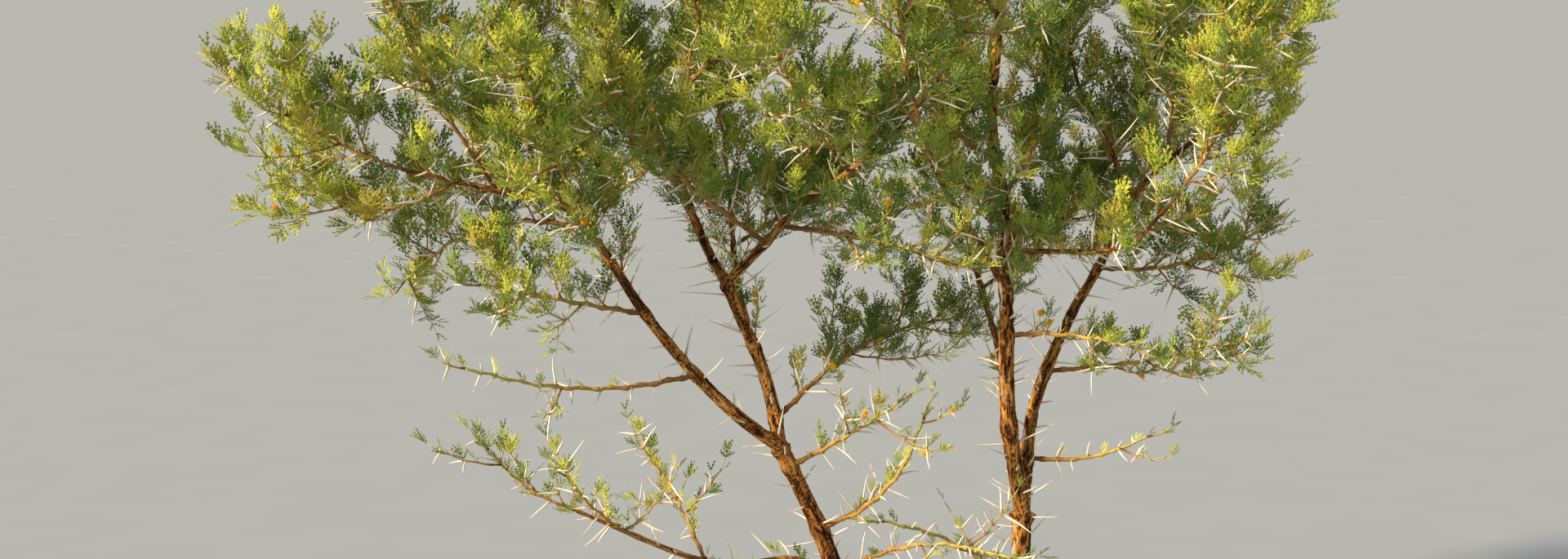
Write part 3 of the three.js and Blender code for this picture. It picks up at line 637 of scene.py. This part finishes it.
def add_relief(obj, spaces):
    """Moves each corner in or out by the bark's relief, and keeps that and its place on its limb."""
    frames = {course.name: frames_along(course.line) for course in spaces.limbs}
    mesh = obj.data
    count = len(mesh.vertices)
    corners = np.empty(count * 3, np.float32)
    normals = np.empty(count * 3, np.float32)
    mesh.vertices.foreach_get("co", corners)
    mesh.vertex_normals.foreach_get("vector", normals)
    corners = corners.reshape(-1, 3).astype(float)
    normals = normals.reshape(-1, 3)
    relief = np.empty(count)
    depth = np.empty(count)
    girths = np.empty(count)
    grain = np.empty((count, 3))
    for k in range(count):
        _, index, _ = spaces.limb_tree.find(corners[k])
        course, i = spaces.limb_points[index]
        right, over = frames[course.name]
        away = corners[k] - course.line[i]
        share = i / (len(course.line) - 1)
        girths[k] = course.radius_at(share)
        grain[k] = (away @ right[i], away @ over[i], share * course.length + away[2] * GRAIN_RISE)
        relief[k] = bark_pattern(grain[k], girths[k])
        depth[k] = min(FISSURE_DEPTH * girths[k], FISSURE_DEEPEST)
    rough = rise(girths, SMOOTH_BARK)
    corners += normals * (relief * depth * mix((SMOOTH_RELIEF, 1), rough))[:, None]
    mesh.vertices.foreach_set("co", corners.astype(np.float32).ravel())
    add_values(mesh, "place", relief)
    add_values(mesh, "rough", rough)
    add_values(mesh, "grain", grain)
    mesh.update()


def cut_at_ground(obj):
    """Cuts the foot off flat at the ground and closes it."""
    work = bmesh.new()
    work.from_mesh(obj.data)
    everything = work.verts[:] + work.edges[:] + work.faces[:]
    cut = bmesh.ops.bisect_plane(work, geom=everything, plane_co=(0, 0, 0), plane_no=(0, 0, -1),
                                 clear_outer=True)
    rim = [piece for piece in cut["geom_cut"] if isinstance(piece, bmesh.types.BMEdge)]
    bmesh.ops.holes_fill(work, edges=rim)
    work.to_mesh(obj.data)
    work.free()


def make_bark(spaces):
    heap = Heap()
    for course in spaces.limbs:
        rough_limb(heap, course)
    rough_toes(heap)
    rough_dome(heap)
    obj = heap_object("bark", heap, True)
    settle(obj, [
        ("REMESH", {"mode": "VOXEL", "voxel_size": BARK_VOXEL, "use_smooth_shade": True}),
        ("SMOOTH", BARK_SMOOTHING),
    ])
    add_relief(obj, spaces)
    cut_at_ground(obj)
    obj.data.polygons.foreach_set("use_smooth", np.full(len(obj.data.polygons), True))
    return obj


# Twigs, by the source's rule and on to finer ones.

@dataclass
class Node:
    """A place on a twig or limb where leaves and thorns stand, and its turn round it."""
    place: np.ndarray
    ahead: np.ndarray
    level: np.ndarray
    turn: float
    share: float
    radius: float

    def side(self, turn):
        return turned(self.ahead, self.level, self.turn + turn)

    def out(self, turn, slant):
        return leaving(self.ahead, self.level, self.turn + turn, slant)


def node_on(carrier, count, share, radius):
    return Node(*along_line(carrier.line, share), carrier.level, count * GOLDEN_TURN, share, radius)


class Twig:
    """A drawn twig: its line, its radii at both ends, its rank, how leafy it is and whether it blooms."""

    def __init__(self, line, girth, rank, leafiness, bloom=False):
        self.line = line
        self.girth = girth
        self.rank = rank
        self.leafiness = leafiness
        self.bloom = bloom
        self.length = float(np.linalg.norm(np.diff(line, axis=0), axis=1).sum())
        self.level = least_axis(line[-1] - line[0])

    def radii(self):
        """The radius at each point of its line, a little swollen at the nodes."""
        spacing = NODE_SPACING[self.rank]
        shares = np.linspace(0, 1, len(self.line))
        past = np.mod(shares * self.length, spacing)
        off = np.minimum(past, spacing - past)
        return mix(self.girth, shares) * (1 + NODE_SWELL * np.exp(-(off / NODE_HALF) ** 2))

    def nodes(self):
        start = NODES_FROM[self.rank]
        count = max(1, round(self.length * (1 - start) / NODE_SPACING[self.rank]))
        for i in range(count):
            share = start + (1 - start) * (i + 1) / count
            yield node_on(self, i, share, mix(self.girth, share))


class Spaces:
    """Whose space a place is in, that of the mass whose stem is nearest, and where the limbs are."""

    def __init__(self, courses):
        self.names = [course.name for course in courses.values() if not course.is_limb]
        lines = [courses[name].line[::2] for name in self.names]
        self.points = np.vstack(lines)
        self.owners = np.concatenate([np.full(len(line), k) for k, line in enumerate(lines)])
        self.limbs = [course for course in courses.values() if course.is_limb]
        self.limb_radii = np.concatenate([course.radii() for course in self.limbs])
        self.limb_points = [(course, i) for course in self.limbs for i in range(len(course.line))]
        self.limb_tree = KDTree(len(self.limb_points))
        for k, (course, i) in enumerate(self.limb_points):
            self.limb_tree.insert(course.line[i], k)
        self.limb_tree.balance()

    def owns(self, name, place, spare):
        """Whether a place is in the space of a mass, or all but; what grows on a bough is free."""
        if name is None:
            return True
        distances = np.linalg.norm(self.points - place, axis=1)
        own = distances[self.owners == self.names.index(name)].min()
        return own <= distances.min() + spare

    def hits_limb(self, start, tip, shares):
        """Whether a place at one of some shares of the way from a start to a tip is in a limb."""
        for share in shares:
            _, index, distance = self.limb_tree.find(start + (tip - start) * share)
            if distance < self.limb_radii[index] + CLEARANCE:
                return True
        return False

    def has_room(self, name, root, tip, spare):
        """Whether a twig keeps to the space of its mass, or all but, and clear of the limbs."""
        return self.owns(name, tip, spare) and not self.hits_limb(root, tip, TWIG_TESTS)


def zigzagged(line, side, length, rank):
    """A line that swings a little to one side and the other from node to node."""
    along = np.linspace(0, length, len(line)) / NODE_SPACING[rank]
    swing = 2 * np.abs(np.mod(along, 2) - 1) - 1
    swing *= np.minimum(along / 2, 1)
    return line + side[None] * (swing * ZIGZAG[rank])[:, None]


def grown_twig(root, out, length, rank, leafiness, draws, bloom=False):
    """A shoot or young twig: straight but for a little sag in its middle and its zigzag."""
    side = turned(out, least_axis(out), 360 * next(draws))
    steps = NODE_STEPS[rank] * max(2, round(length / NODE_SPACING[rank]))
    shares = np.linspace(0, 1, steps + 1)
    line = root + out[None] * (shares * length)[:, None]
    line += UP[None] * (4 * TWIG_SAG * length * (shares ** 2 - shares))[:, None]
    return Twig(zigzagged(line, side, length, rank), GIRTHS[rank], rank, leafiness, bloom)


def twig_heading(ahead, level, count, draws):
    """The way that a finer twig leaves: a golden turn on from the one before it, slanted and lifted."""
    turn = count * GOLDEN_TURN + TWIG_TURN_SPREAD * next(draws)
    return unit(leaving(ahead, level, turn, mix(TWIG_SLANT, next(draws))) + UP * TWIG_LIFT)


def source_shoots(mass, stem, course, spaces):
    """The shoots of one mass, from the same draws as in the source."""
    draws = draws_for("shoots", mass)
    line_draws = draws_for("shoot_lines", mass)
    count = round(course.length / MM / SHOOT_SPACING * math.sqrt(stem.leafiness))
    shoots = []
    for k in range(count):
        share = SHOOTS_FROM + (1 - SHOOTS_FROM) * (k + next(draws)) / count
        slant = mix(SHOOT_SLANT, next(draws))
        length = SHOOT_LENGTH * mix(SHOOT_SHORTER, share) * mix(SHOOT_SPREAD, next(draws)) * MM
        bloom = next(draws) < BLOSSOM_CHANCE
        _, ahead = course.at(share)
        out = unit(leaving(ahead, course.level, face_turn(k), slant) + UP * SHOOT_LIFT)
        root, _ = along_line(stem.line, share)
        if spaces.has_room(course.name, root, root + out * length, SHOOT_SPARE):
            shoots.append(grown_twig(root, out, length, SHOOT, stem.leafiness, line_draws, bloom))
    return shoots


def side_twigs(parent, rank, draws, spaces, name):
    """Finer twigs along a shoot or along the stem of a mass, within the space of that mass."""
    reach = mix((SPARSE_REACH, 1), rise(parent.leafiness, (SPARSE, 1)))
    lengths = tuple(length * reach for length in LENGTHS[rank])
    twigs = []
    count = int(parent.length / SPACINGS[rank])
    for k in range(count):
        share = SIDE_STRETCH[0] + SIDE_STRETCH[1] * (k + next(draws)) / count
        root, ahead = along_line(parent.line, share)
        length = mix(lengths, next(draws)) * (SIDE_SHORTER[0] - SIDE_SHORTER[1] * share)
        out = twig_heading(ahead, parent.level, k, draws)
        if spaces.has_room(name, root, root + out * length, TWIG_SPARE):
            twigs.append(grown_twig(root, out, length, rank, parent.leafiness, draws))
    return twigs


def tip_shoot(mass, stem):
    """The shoot that carries the stem of a mass on past its tip."""
    root, ahead = along_line(stem.line, 1)
    return grown_twig(root, ahead, TIP_SHOOT, SHOOT, stem.leafiness, draws_for("tip_shoots", mass))


def bough_spurs(course, draws, spaces):
    """Short shoots along the thin stretches of a bough, more of them high in the crown."""
    spurs = []
    count = int(course.length / BOUGH_SPUR_SPACING)
    for k in range(count):
        share = (k + next(draws)) / count
        root, ahead = along_line(course.line, share)
        leafiness = rise(root[2], LEAFY_HEIGHTS)
        length = mix(BOUGH_SPUR_LENGTH, next(draws))
        out = twig_heading(ahead, course.level, k, draws)
        is_kept = next(draws) < leafiness and course.radius_at(share) < LEAFY_GIRTH
        if is_kept and not spaces.hits_limb(root + out * SPUR_FREE, root + out * length, SPUR_TESTS):
            spurs.append(grown_twig(root, out, length, SHOOT, leafiness, draws))
    return spurs


def grow_mass(mass, courses, spaces):
    """The twigs of one mass: its stem, the source's shoots and the finer twigs on them."""
    name, *_, leafiness = MASSES[mass]
    course = courses["leaves_" + name]
    draws = draws_for("masses", mass)
    side = turned(course.at(0)[1], course.level, 360 * next(draws))
    line = zigzagged(course.line, side, course.length, STEM)
    stem = Twig(line, tuple(radius * STEM_DRAWN for radius in course.girth), STEM, leafiness)
    shoots = source_shoots(mass, stem, course, spaces)
    shoots.append(tip_shoot(mass, stem))
    if leafiness > SPARSE:
        shoots += side_twigs(stem, SHOOT, draws, spaces, course.name)
    twigs = [stem] + shoots
    for parent in shoots if leafiness > TWIGGY else []:
        twigs += side_twigs(parent, YOUNG, draws, spaces, course.name)
    return twigs


def grow_crown(courses, spaces):
    twigs = []
    for mass in range(len(MASSES)):
        twigs += grow_mass(mass, courses, spaces)
    for index, row in enumerate(LIMBS):
        draws = draws_for("spurs", index)
        spurs = bough_spurs(courses[row[0]], draws, spaces)
        twigs += spurs
        for spur in spurs:
            if spur.leafiness > TWIGGY:
                twigs += side_twigs(spur, YOUNG, draws, spaces, None)
    return twigs


def make_twigs(twigs):
    old = Heap()
    young = Heap()
    for twig in twigs:
        heap = young if twig.rank == YOUNG else old
        heap.add(*tube(twig.line, twig.radii(), SIDES[twig.rank]))
    return heap_object("twigs", old, True), heap_object("young_twigs", young, True)


# Leaves: toothed pinnae in pairs on a fine rachis.

def pinna_shape():
    """One pinna along +X: leaflets as the teeth of a folded, slightly arched blade."""
    steps = np.linspace(0, 1, PINNA_TEETH + 1)
    spine = np.stack([steps, np.zeros(PINNA_TEETH + 1), -PINNA_SAG * steps ** 2], axis=1) * PINNA_LENGTH
    middles = (np.arange(PINNA_TEETH) + 0.5) / PINNA_TEETH
    bulge = np.sin(math.pi * middles ** PINNA_WIDEST_POWER)
    reach = PINNA_WIDTH / 2 * mix((PINNA_END_WIDTH, 1), bulge)
    tips = []
    for side in (1, -1):
        x = (middles + TOOTH_LEAN / PINNA_TEETH) * PINNA_LENGTH
        z = TOOTH_LIFT * reach - PINNA_SAG * middles ** 2 * PINNA_LENGTH
        tips.append(np.stack([x, side * reach, z], axis=1))
    faces = []
    for i in range(PINNA_TEETH):
        faces.append((i, i + 1, PINNA_TEETH + 1 + i))
        faces.append((i + 1, i, 2 * PINNA_TEETH + 1 + i))
    return np.vstack([spine] + tips), np.array(faces)


def turn_about(axis, angle):
    """The matrix of a turn by some degrees about one of the three axes."""
    first, second = (axis + 1) % 3, (axis + 2) % 3
    matrix = np.eye(3)
    matrix[first, first] = matrix[second, second] = math.cos(math.radians(angle))
    matrix[second, first] = math.sin(math.radians(angle))
    matrix[first, second] = -matrix[second, first]
    return matrix


def leaf_shape(pairs, draws):
    """A twice-feathered leaf along +X: a rachis with pairs of pinnae that spread from it."""
    blade, blade_faces = pinna_shape()
    half = RACHIS_WIDTH / 2
    corners = [np.array([[0, -half, 0], [0, half, 0], [RACHIS_LENGTH, -half, 0], [RACHIS_LENGTH, half, 0]])]
    faces = [np.array([(0, 2, 1), (1, 2, 3)])]
    count = len(corners[0])
    for pair in range(pairs):
        along = mix(PINNA_PLACES, pair / (pairs - 1))
        reach = 1 - PINNA_SHORTER * abs(along - LONGEST_PLACE)
        for side in (1, -1):
            turn = side * (mix(PINNA_TURNS, along) + swayed(PINNA_TURN_SPREAD, draws))
            tilt = PINNA_TILT + swayed(PINNA_TILT_SPREAD, draws)
            size = reach * drawn(SIZE_SPAN, draws)
            roll = swayed(PINNA_ROLL_SPREAD, draws)
            matrix = turn_about(2, turn) @ turn_about(1, tilt) @ turn_about(0, roll)
            corners.append(blade * size @ matrix.T + np.array([along * RACHIS_LENGTH, 0, 0]))
            faces.append(blade_faces + count)
            count += len(blade)
    return np.vstack(corners), np.vstack(faces)


@dataclass
class Leaf:
    """Where one leaf stands: its root, its axes as columns, its shape and its colour."""
    root: np.ndarray
    axes: np.ndarray
    shape: int
    tint: str


def leaf_axes(out, roll):
    """Axes that point a leaf out and face its upper side to the sky, then rolled by an angle."""
    level = unit(np.cross(UP, out) + LEVEL_NUDGE)
    upper = np.cross(out, level)
    angle = math.radians(roll)
    wide = level * math.cos(angle) + upper * math.sin(angle)
    return np.stack([out, wide, np.cross(out, wide)], axis=1)


def tint_of(place, draws):
    """The colour of a spray: painted light and shade, lighter and yellower at the outside of the crown and
    darker within, spread at random between sprays; a few are olive by chance.
    """
    outside = np.linalg.norm((place - CROWN_MIDDLE) / CROWN_REACH)
    mark = TINT_START + TINT_RISE * outside + swayed(TINT_SPREAD, draws)
    if next(draws) < OLIVE_CHANCE:
        return "olive"
    for tint, limit in TINT_LIMITS.items():
        if mark > limit:
            return tint
    return "deep_shade"


def add_tuft(leaves, spaces, node, count, slants, size, tint, draws):
    """A few leaves that spread from one node."""
    for i in range(count):
        turn = i * LEAF_TURN[0] + LEAF_TURN[1] * next(draws)
        out = unit(node.out(turn, mix(slants, next(draws))) + UP * LEAF_LIFT)
        scale = size * mix(LEAF_SIZES, next(draws))
        shape = int(next(draws) * len(LEAF_PAIRS))
        axes = leaf_axes(out, swayed(LEAF_ROLL_SPREAD, draws)) * scale
        tip = node.place + out * (RACHIS_LENGTH + PINNA_LENGTH / 2) * scale
        if not spaces.hits_limb(node.place, tip, LEAF_TESTS):
            leaves.append(Leaf(node.place, axes, shape, tint))


def twig_leaves(leaves, twigs, spaces):
    for number, twig in enumerate(twigs):
        draws = draws_for("leaves", number)
        # The spray's grade of painted light and shade, from where its tip stands in the crown.
        tint = tint_of(twig.line[-1], draws)
        size = mix((SPARSE_LEAF_SIZE, 1), min(twig.leafiness, 1))
        for node in twig.nodes():
            is_old = twig.rank == STEM and node.share < BARE_STRETCH
            if is_old and next(draws) < BARE_CHANCE:
                continue
            at_tip = node.share > TIP_FROM
            count = int(LEAVES_A_TUFT[twig.rank] * twig.leafiness + next(draws)) + at_tip
            slants = TIP_SLANTS if at_tip else SIDE_SLANTS
            add_tuft(leaves, spaces, node, count, slants, size, tint, draws)


def limb_nodes(courses, stream):
    """The nodes of the stems and boughs, on their lines, each with the draws of its limb."""
    for index, row in enumerate(LIMBS):
        course = courses[row[0]]
        draws = draws_for(stream, index)
        count = int(course.length / LIMB_NODE_SPACING)
        for i in range(count):
            share = (i + next(draws)) / count
            yield node_on(course, i, share, course.radius_at(share)), draws


def limb_leaves(leaves, courses, spaces):
    """Small tufts right on the thinner boughs."""
    for node, draws in limb_nodes(courses, "limb_leaves"):
        if node.radius > LEAFY_GIRTH or next(draws) < LIMB_BARE_CHANCE:
            continue
        node.place = node.place + node.side(0) * (node.radius + CLEARANCE)
        # The tuft's grade of painted light and shade, from where it stands in the crown.
        tint = tint_of(node.place, draws)
        count = int(drawn(LIMB_TUFT, draws))
        add_tuft(leaves, spaces, node, count, SIDE_SLANTS, LIMB_LEAF_SIZE, tint, draws)


def make_leaves(leaves):
    """One piece of leaves for each colour."""
    draws = draws_for("leaf_shapes")
    shapes = [leaf_shape(pairs, draws) for pairs in LEAF_PAIRS]
    heaps = {tint: Heap() for tint in LEAF_COLORS}
    for tint, heap in heaps.items():
        for kind, (corners, faces) in enumerate(shapes):
            chosen = [leaf for leaf in leaves if leaf.tint == tint and leaf.shape == kind]
            roots = np.array([leaf.root for leaf in chosen])
            axes = np.array([leaf.axes for leaf in chosen])
            placed = np.einsum("nij,kj->nki", axes, corners) + roots[:, None]
            shift = (np.arange(len(chosen)) * len(corners))[:, None, None]
            heap.add(placed.reshape(-1, 3), (faces[None] + shift).reshape(-1, 3))
    return {tint: heap_object("leaves_" + tint, heap, False) for tint, heap in heaps.items()}


# Thorns, in pairs at the nodes.

def add_thorn(heap, root, out, length, radius, draws):
    """A straight, slightly curved spike with a swollen base."""
    bow = turned(out, least_axis(out), 360 * next(draws)) * length * THORN_BOW
    shares = np.array([share for share, _ in THORN_WIDTHS])
    widths = np.array([width for _, width in THORN_WIDTHS]) * radius
    line = root + out[None] * (shares * length)[:, None] + bow[None] * (shares * (1 - shares) * 4)[:, None]
    corners, faces, _ = tube(line, widths, THORN_SIDES)
    heap.add(corners, faces, np.repeat(shares, THORN_SIDES))


def add_pair(heap, node, scale, draws):
    length = mix(THORN_LENGTH, next(draws) ** THORN_SHORTNESS) * scale
    for side in (0, 1):
        turn = side * drawn(PAIR_TURN_SPAN, draws)
        out = node.out(turn, drawn(THORN_SLANT_SPAN, draws))
        root = node.place + node.side(turn) * node.radius * THORN_ROOT
        radius = THORN_RADIUS * drawn(THORN_GIRTH_SPAN, draws)
        add_thorn(heap, root, out, length * drawn(SIZE_SPAN, draws), radius, draws)


def make_thorns(courses, twigs):
    heap = Heap()
    for node, draws in limb_nodes(courses, "limb_thorns"):
        if node.place[2] > THORNS_FROM and next(draws) < LIMB_THORN_CHANCE:
            add_pair(heap, node, LIMB_THORN_SCALE, draws)
    for number, twig in enumerate(twigs):
        if twig.rank == YOUNG:
            continue
        draws = draws_for("thorns", number)
        chance = mix((SPARSE_THORN_CHANCE, THORN_CHANCE), min(twig.leafiness, 1))
        for node in twig.nodes():
            if node.share < TIP_FROM and next(draws) < chance:
                node.turn += LEAF_TO_THORN_TURN
                scale = THORN_SCALES[twig.rank] * (THORN_SHORTER[0] - THORN_SHORTER[1] * node.share)
                add_pair(heap, node, scale, draws)
    return heap_object("thorns", heap, False)


# Blossoms: round heads of fine hairs on short stalks.

def sphere_points(count):
    """Points spread evenly over a sphere of radius 1."""
    index = np.arange(count) + 0.5
    height = 1 - 2 * index / count
    turn = index * math.radians(GOLDEN_TURN)
    level = np.sqrt(1 - height ** 2)
    return np.stack([level * np.cos(turn), level * np.sin(turn), height], axis=1)


def blossom_shape():
    """A ball of short, thick hairs, each a four-cornered spike."""
    corners = []
    faces = []
    for k, out in enumerate(sphere_points(HAIRS)):
        side = turned(out, least_axis(out), HAIR_TURN * k) * HAIR_WIDTH
        other = np.cross(out, side)
        start = len(corners)
        corners.extend(out * HAIR_ROOT + edge for edge in (side, other, -side, -other))
        corners.append(out * (HAIR_TIP + HAIR_TIP_SWAY * math.sin(k * HAIR_SWAY_STEP)))
        faces.extend([(start + i, start + (i + 1) % 4, start + 4) for i in range(4)])
    return np.array(corners), np.array(faces)


def make_blossoms(twigs):
    corners, faces = blossom_shape()
    fresh = Heap()
    old = Heap()
    stalks = Heap()
    draws = draws_for("blossoms")
    for twig in twigs:
        if twig.rank == YOUNG or not (twig.bloom or next(draws) < BLOSSOM_SHARE):
            continue
        for _ in range(1 + int(MOST_BLOSSOMS * next(draws))):
            root, ahead = along_line(twig.line, drawn(BLOSSOM_STRETCH, draws))
            out = unit(leaving(ahead, twig.level, 360 * next(draws), STALK_SLANT) + UP * STALK_LIFT)
            middle = root + out * mix(STALK_LENGTH, next(draws))
            size = BLOSSOM_RADIUS * drawn(SIZE_SPAN, draws)
            heap = old if next(draws) < OLD_BLOSSOMS else fresh
            heap.add(corners * size * (OLD_BLOSSOM_SIZE if heap is old else 1) + middle, faces)
            stalk = np.stack([root, (root + middle) / 2, middle])
            stalks.add(*tube(stalk, np.full(len(stalk), STALK_RADIUS), STALK_SIDES))
    return (heap_object("blossoms", fresh, False), heap_object("old_blossoms", old, False),
            heap_object("blossom_stalks", stalks, True))


# Materials.

def new_material(name, roughness, specular):
    material = bpy.data.materials.new(name)
    material.use_nodes = True
    shader = material.node_tree.nodes["Principled BSDF"]
    shader.inputs["Roughness"].default_value = roughness
    shader.inputs["Specular IOR Level"].default_value = specular
    return material, material.node_tree


def attribute(tree, name, output):
    node = tree.nodes.new("ShaderNodeAttribute")
    node.attribute_name = name
    return node.outputs[output]


def ramped(tree, value, stops):
    """A colour that follows a value through some stops."""
    ramp = tree.nodes.new("ShaderNodeValToRGB")
    elements = ramp.color_ramp.elements
    while len(elements) < len(stops):
        elements.new(0.5)
    for element, (position, color) in zip(elements, stops):
        element.position = position
        element.color = (*color, 1)
    tree.links.new(value, ramp.inputs["Fac"])
    return ramp.outputs["Color"]


def mottled(tree, value, colors):
    """A colour between two, by noise."""
    return ramped(tree, value, list(zip(NOISE_SPAN, colors)))


def shades_of(color, shares):
    return [tuple(channel * share for channel in color) for share in shares]


def noise_value(tree, waves, detail, place=None):
    """Noise at so many waves a metre, along each axis if that is three numbers."""
    if place is None:
        place = tree.nodes.new("ShaderNodeTexCoord").outputs["Object"]
    mapping = tree.nodes.new("ShaderNodeMapping")
    mapping.inputs["Scale"].default_value = waves if isinstance(waves, tuple) else (waves,) * 3
    texture = tree.nodes.new("ShaderNodeTexNoise")
    texture.inputs["Scale"].default_value = 1
    texture.inputs["Detail"].default_value = detail
    tree.links.new(place, mapping.inputs["Vector"])
    tree.links.new(mapping.outputs["Vector"], texture.inputs["Vector"])
    return texture.outputs["Fac"]


def mixed(tree, first, second, mode="MULTIPLY", share=None):
    """Two colours, multiplied or mixed by a share."""
    node = tree.nodes.new("ShaderNodeMix")
    node.data_type = "RGBA"
    node.blend_type = mode
    node.inputs["Factor"].default_value = 1
    if share is not None:
        tree.links.new(share, node.inputs["Factor"])
    tree.links.new(first, node.inputs["A"])
    tree.links.new(second, node.inputs["B"])
    return node.outputs["Result"]


def finished(material, color, height, strength, distance):
    """The material with its base colour and the bump of a height."""
    tree = material.node_tree
    shader = tree.nodes["Principled BSDF"]
    tree.links.new(color, shader.inputs["Base Color"])
    bump = tree.nodes.new("ShaderNodeBump")
    bump.inputs["Strength"].default_value = strength
    bump.inputs["Distance"].default_value = distance
    tree.links.new(height, bump.inputs["Height"])
    tree.links.new(bump.outputs["Normal"], shader.inputs["Normal"])
    return material


def bark_material():
    material, tree = new_material("bark", roughness=0.88, specular=0.2)
    spread = tree.nodes.new("ShaderNodeMapRange")
    spread.inputs["From Min"].default_value, spread.inputs["From Max"].default_value = BARK_RELIEF
    tree.links.new(attribute(tree, "place", "Fac"), spread.inputs["Value"])
    old = ramped(tree, spread.outputs["Result"], OLD_BARK)
    young = ramped(tree, spread.outputs["Result"], YOUNG_BARK)
    plates = mixed(tree, young, old, "MIX", attribute(tree, "rough", "Fac"))
    grain = attribute(tree, "grain", "Vector")
    cracks = ramped(tree, noise_value(tree, waves=(170, 170, 19), detail=3, place=grain), BARK_CRACKS)
    patches = ramped(tree, noise_value(tree, waves=16, detail=4), BARK_PATCHES)
    color = mixed(tree, mixed(tree, plates, cracks), patches)
    height = noise_value(tree, waves=(420, 420, 120), detail=5, place=grain)
    return finished(material, color, height, strength=0.6, distance=0.0012)


def shaded(material, tree, along, shades, waves, strength, distance):
    """A material with colours along a twig or thorn, finer shades over them, and their bump."""
    colors = ramped(tree, attribute(tree, "place", "Fac"), along)
    texture = noise_value(tree, waves, detail=3)
    color = mixed(tree, colors, ramped(tree, texture, shades))
    return finished(material, color, texture, strength, distance)


def twig_material(name, along, waves):
    made = new_material(name, roughness=0.62, specular=0.3)
    return shaded(*made, along, WOOD_SHADES, waves, strength=0.4, distance=0.0005)


def thorn_material():
    made = new_material("thorn", roughness=0.40, specular=0.5)
    return shaded(*made, THORN_COLORS, THORN_SHADES, waves=240, strength=0.2, distance=0.0002)


def leaf_material(name, color):
    material, tree = new_material("leaf_" + name, roughness=0.62, specular=0.22)
    shade = mottled(tree, noise_value(tree, waves=60, detail=2), shades_of(color, LEAF_SHADES))
    height = noise_value(tree, waves=900, detail=1)
    return finished(material, shade, height, strength=0.2, distance=0.0002)


def blossom_material(name, colors):
    material, tree = new_material(name, roughness=0.75, specular=0.2)
    texture = noise_value(tree, waves=500, detail=2)
    return finished(material, mottled(tree, texture, colors), texture, strength=0.3, distance=0.0003)


def floor_material():
    material, tree = new_material("pale_floor", roughness=1.0, specular=0.0)
    shade = mottled(tree, noise_value(tree, waves=3, detail=2), shades_of(FLOOR_COLOR, FLOOR_SHADES))
    tree.links.new(shade, tree.nodes["Principled BSDF"].inputs["Base Color"])
    return material


# Stage, light and camera.

def make_floor():
    """A wide pale floor that sends the camera the same as the backdrop does."""
    turns = [i * 2 * math.pi / FLOOR_SIDES for i in range(FLOOR_SIDES)]
    corners = [(FLOOR_RADIUS * math.cos(turn), FLOOR_RADIUS * math.sin(turn), 0) for turn in turns]
    mesh = bpy.data.meshes.new("floor")
    mesh.from_pydata(corners, [], [tuple(range(FLOOR_SIDES))])
    floor = bpy.data.objects.new("floor", mesh)
    bpy.context.scene.collection.objects.link(floor)
    floor.data.materials.append(floor_material())


def add_sun(name, toward, strength, angle, color):
    """A soft sun in the direction that is given, seen from the bush."""
    data = bpy.data.lights.new(name, "SUN")
    data.energy = strength
    data.angle = math.radians(angle)
    data.color = color
    lamp = bpy.data.objects.new(name, data)
    lamp.rotation_euler = (-Vector(toward)).to_track_quat("-Z", "Y").to_euler()
    bpy.context.scene.collection.objects.link(lamp)


def make_light():
    world = bpy.data.worlds.new("studio")
    world.use_nodes = True
    background = world.node_tree.nodes["Background"]
    background.inputs["Color"].default_value = (*BACKDROP, 1)
    bpy.context.scene.world = world
    add_sun("key", **KEY_LIGHT)
    add_sun("back", **BACK_LIGHT)
    bpy.context.scene.view_settings.view_transform = "Standard"


def make_camera():
    data = bpy.data.cameras.new("camera")
    data.sensor_width = SENSOR
    data.lens = LENS
    data.clip_end = SIGHT
    camera = bpy.data.objects.new("camera", data)
    camera.location = EYE
    camera.rotation_euler = (Vector(AIM) - Vector(EYE)).to_track_quat("-Z", "Y").to_euler()
    bpy.context.scene.collection.objects.link(camera)
    bpy.context.scene.camera = camera


def dress(obj, material):
    obj.data.materials.clear()
    obj.data.materials.append(material)
    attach(obj, "root")


def main():
    make_camera()
    make_light()
    make_floor()
    courses = plan_courses()
    spaces = Spaces(courses)
    bark = make_bark(spaces)
    dress(bark, bark_material())
    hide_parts("foot", *[row[0] for row in LIMBS])
    twigs = grow_crown(courses, spaces)
    old_twigs, young_twigs = make_twigs(twigs)
    dress(old_twigs, twig_material("twig", OLD_WOOD, 110))
    dress(young_twigs, twig_material("young_twig", YOUNG_WOOD, 140))
    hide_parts(*["leaves_" + row[0] for row in MASSES])
    leaves = []
    twig_leaves(leaves, twigs, spaces)
    limb_leaves(leaves, courses, spaces)
    for tint, obj in make_leaves(leaves).items():
        dress(obj, leaf_material(tint, LEAF_COLORS[tint]))
    dress(make_thorns(courses, twigs), thorn_material())
    fresh, old, stalks = make_blossoms(twigs)
    dress(fresh, blossom_material("blossom", BLOSSOM_COLORS))
    dress(old, blossom_material("old_blossom", OLD_BLOSSOM_COLORS))
    dress(stalks, twig_material("stalk", YOUNG_WOOD, 140))


main()
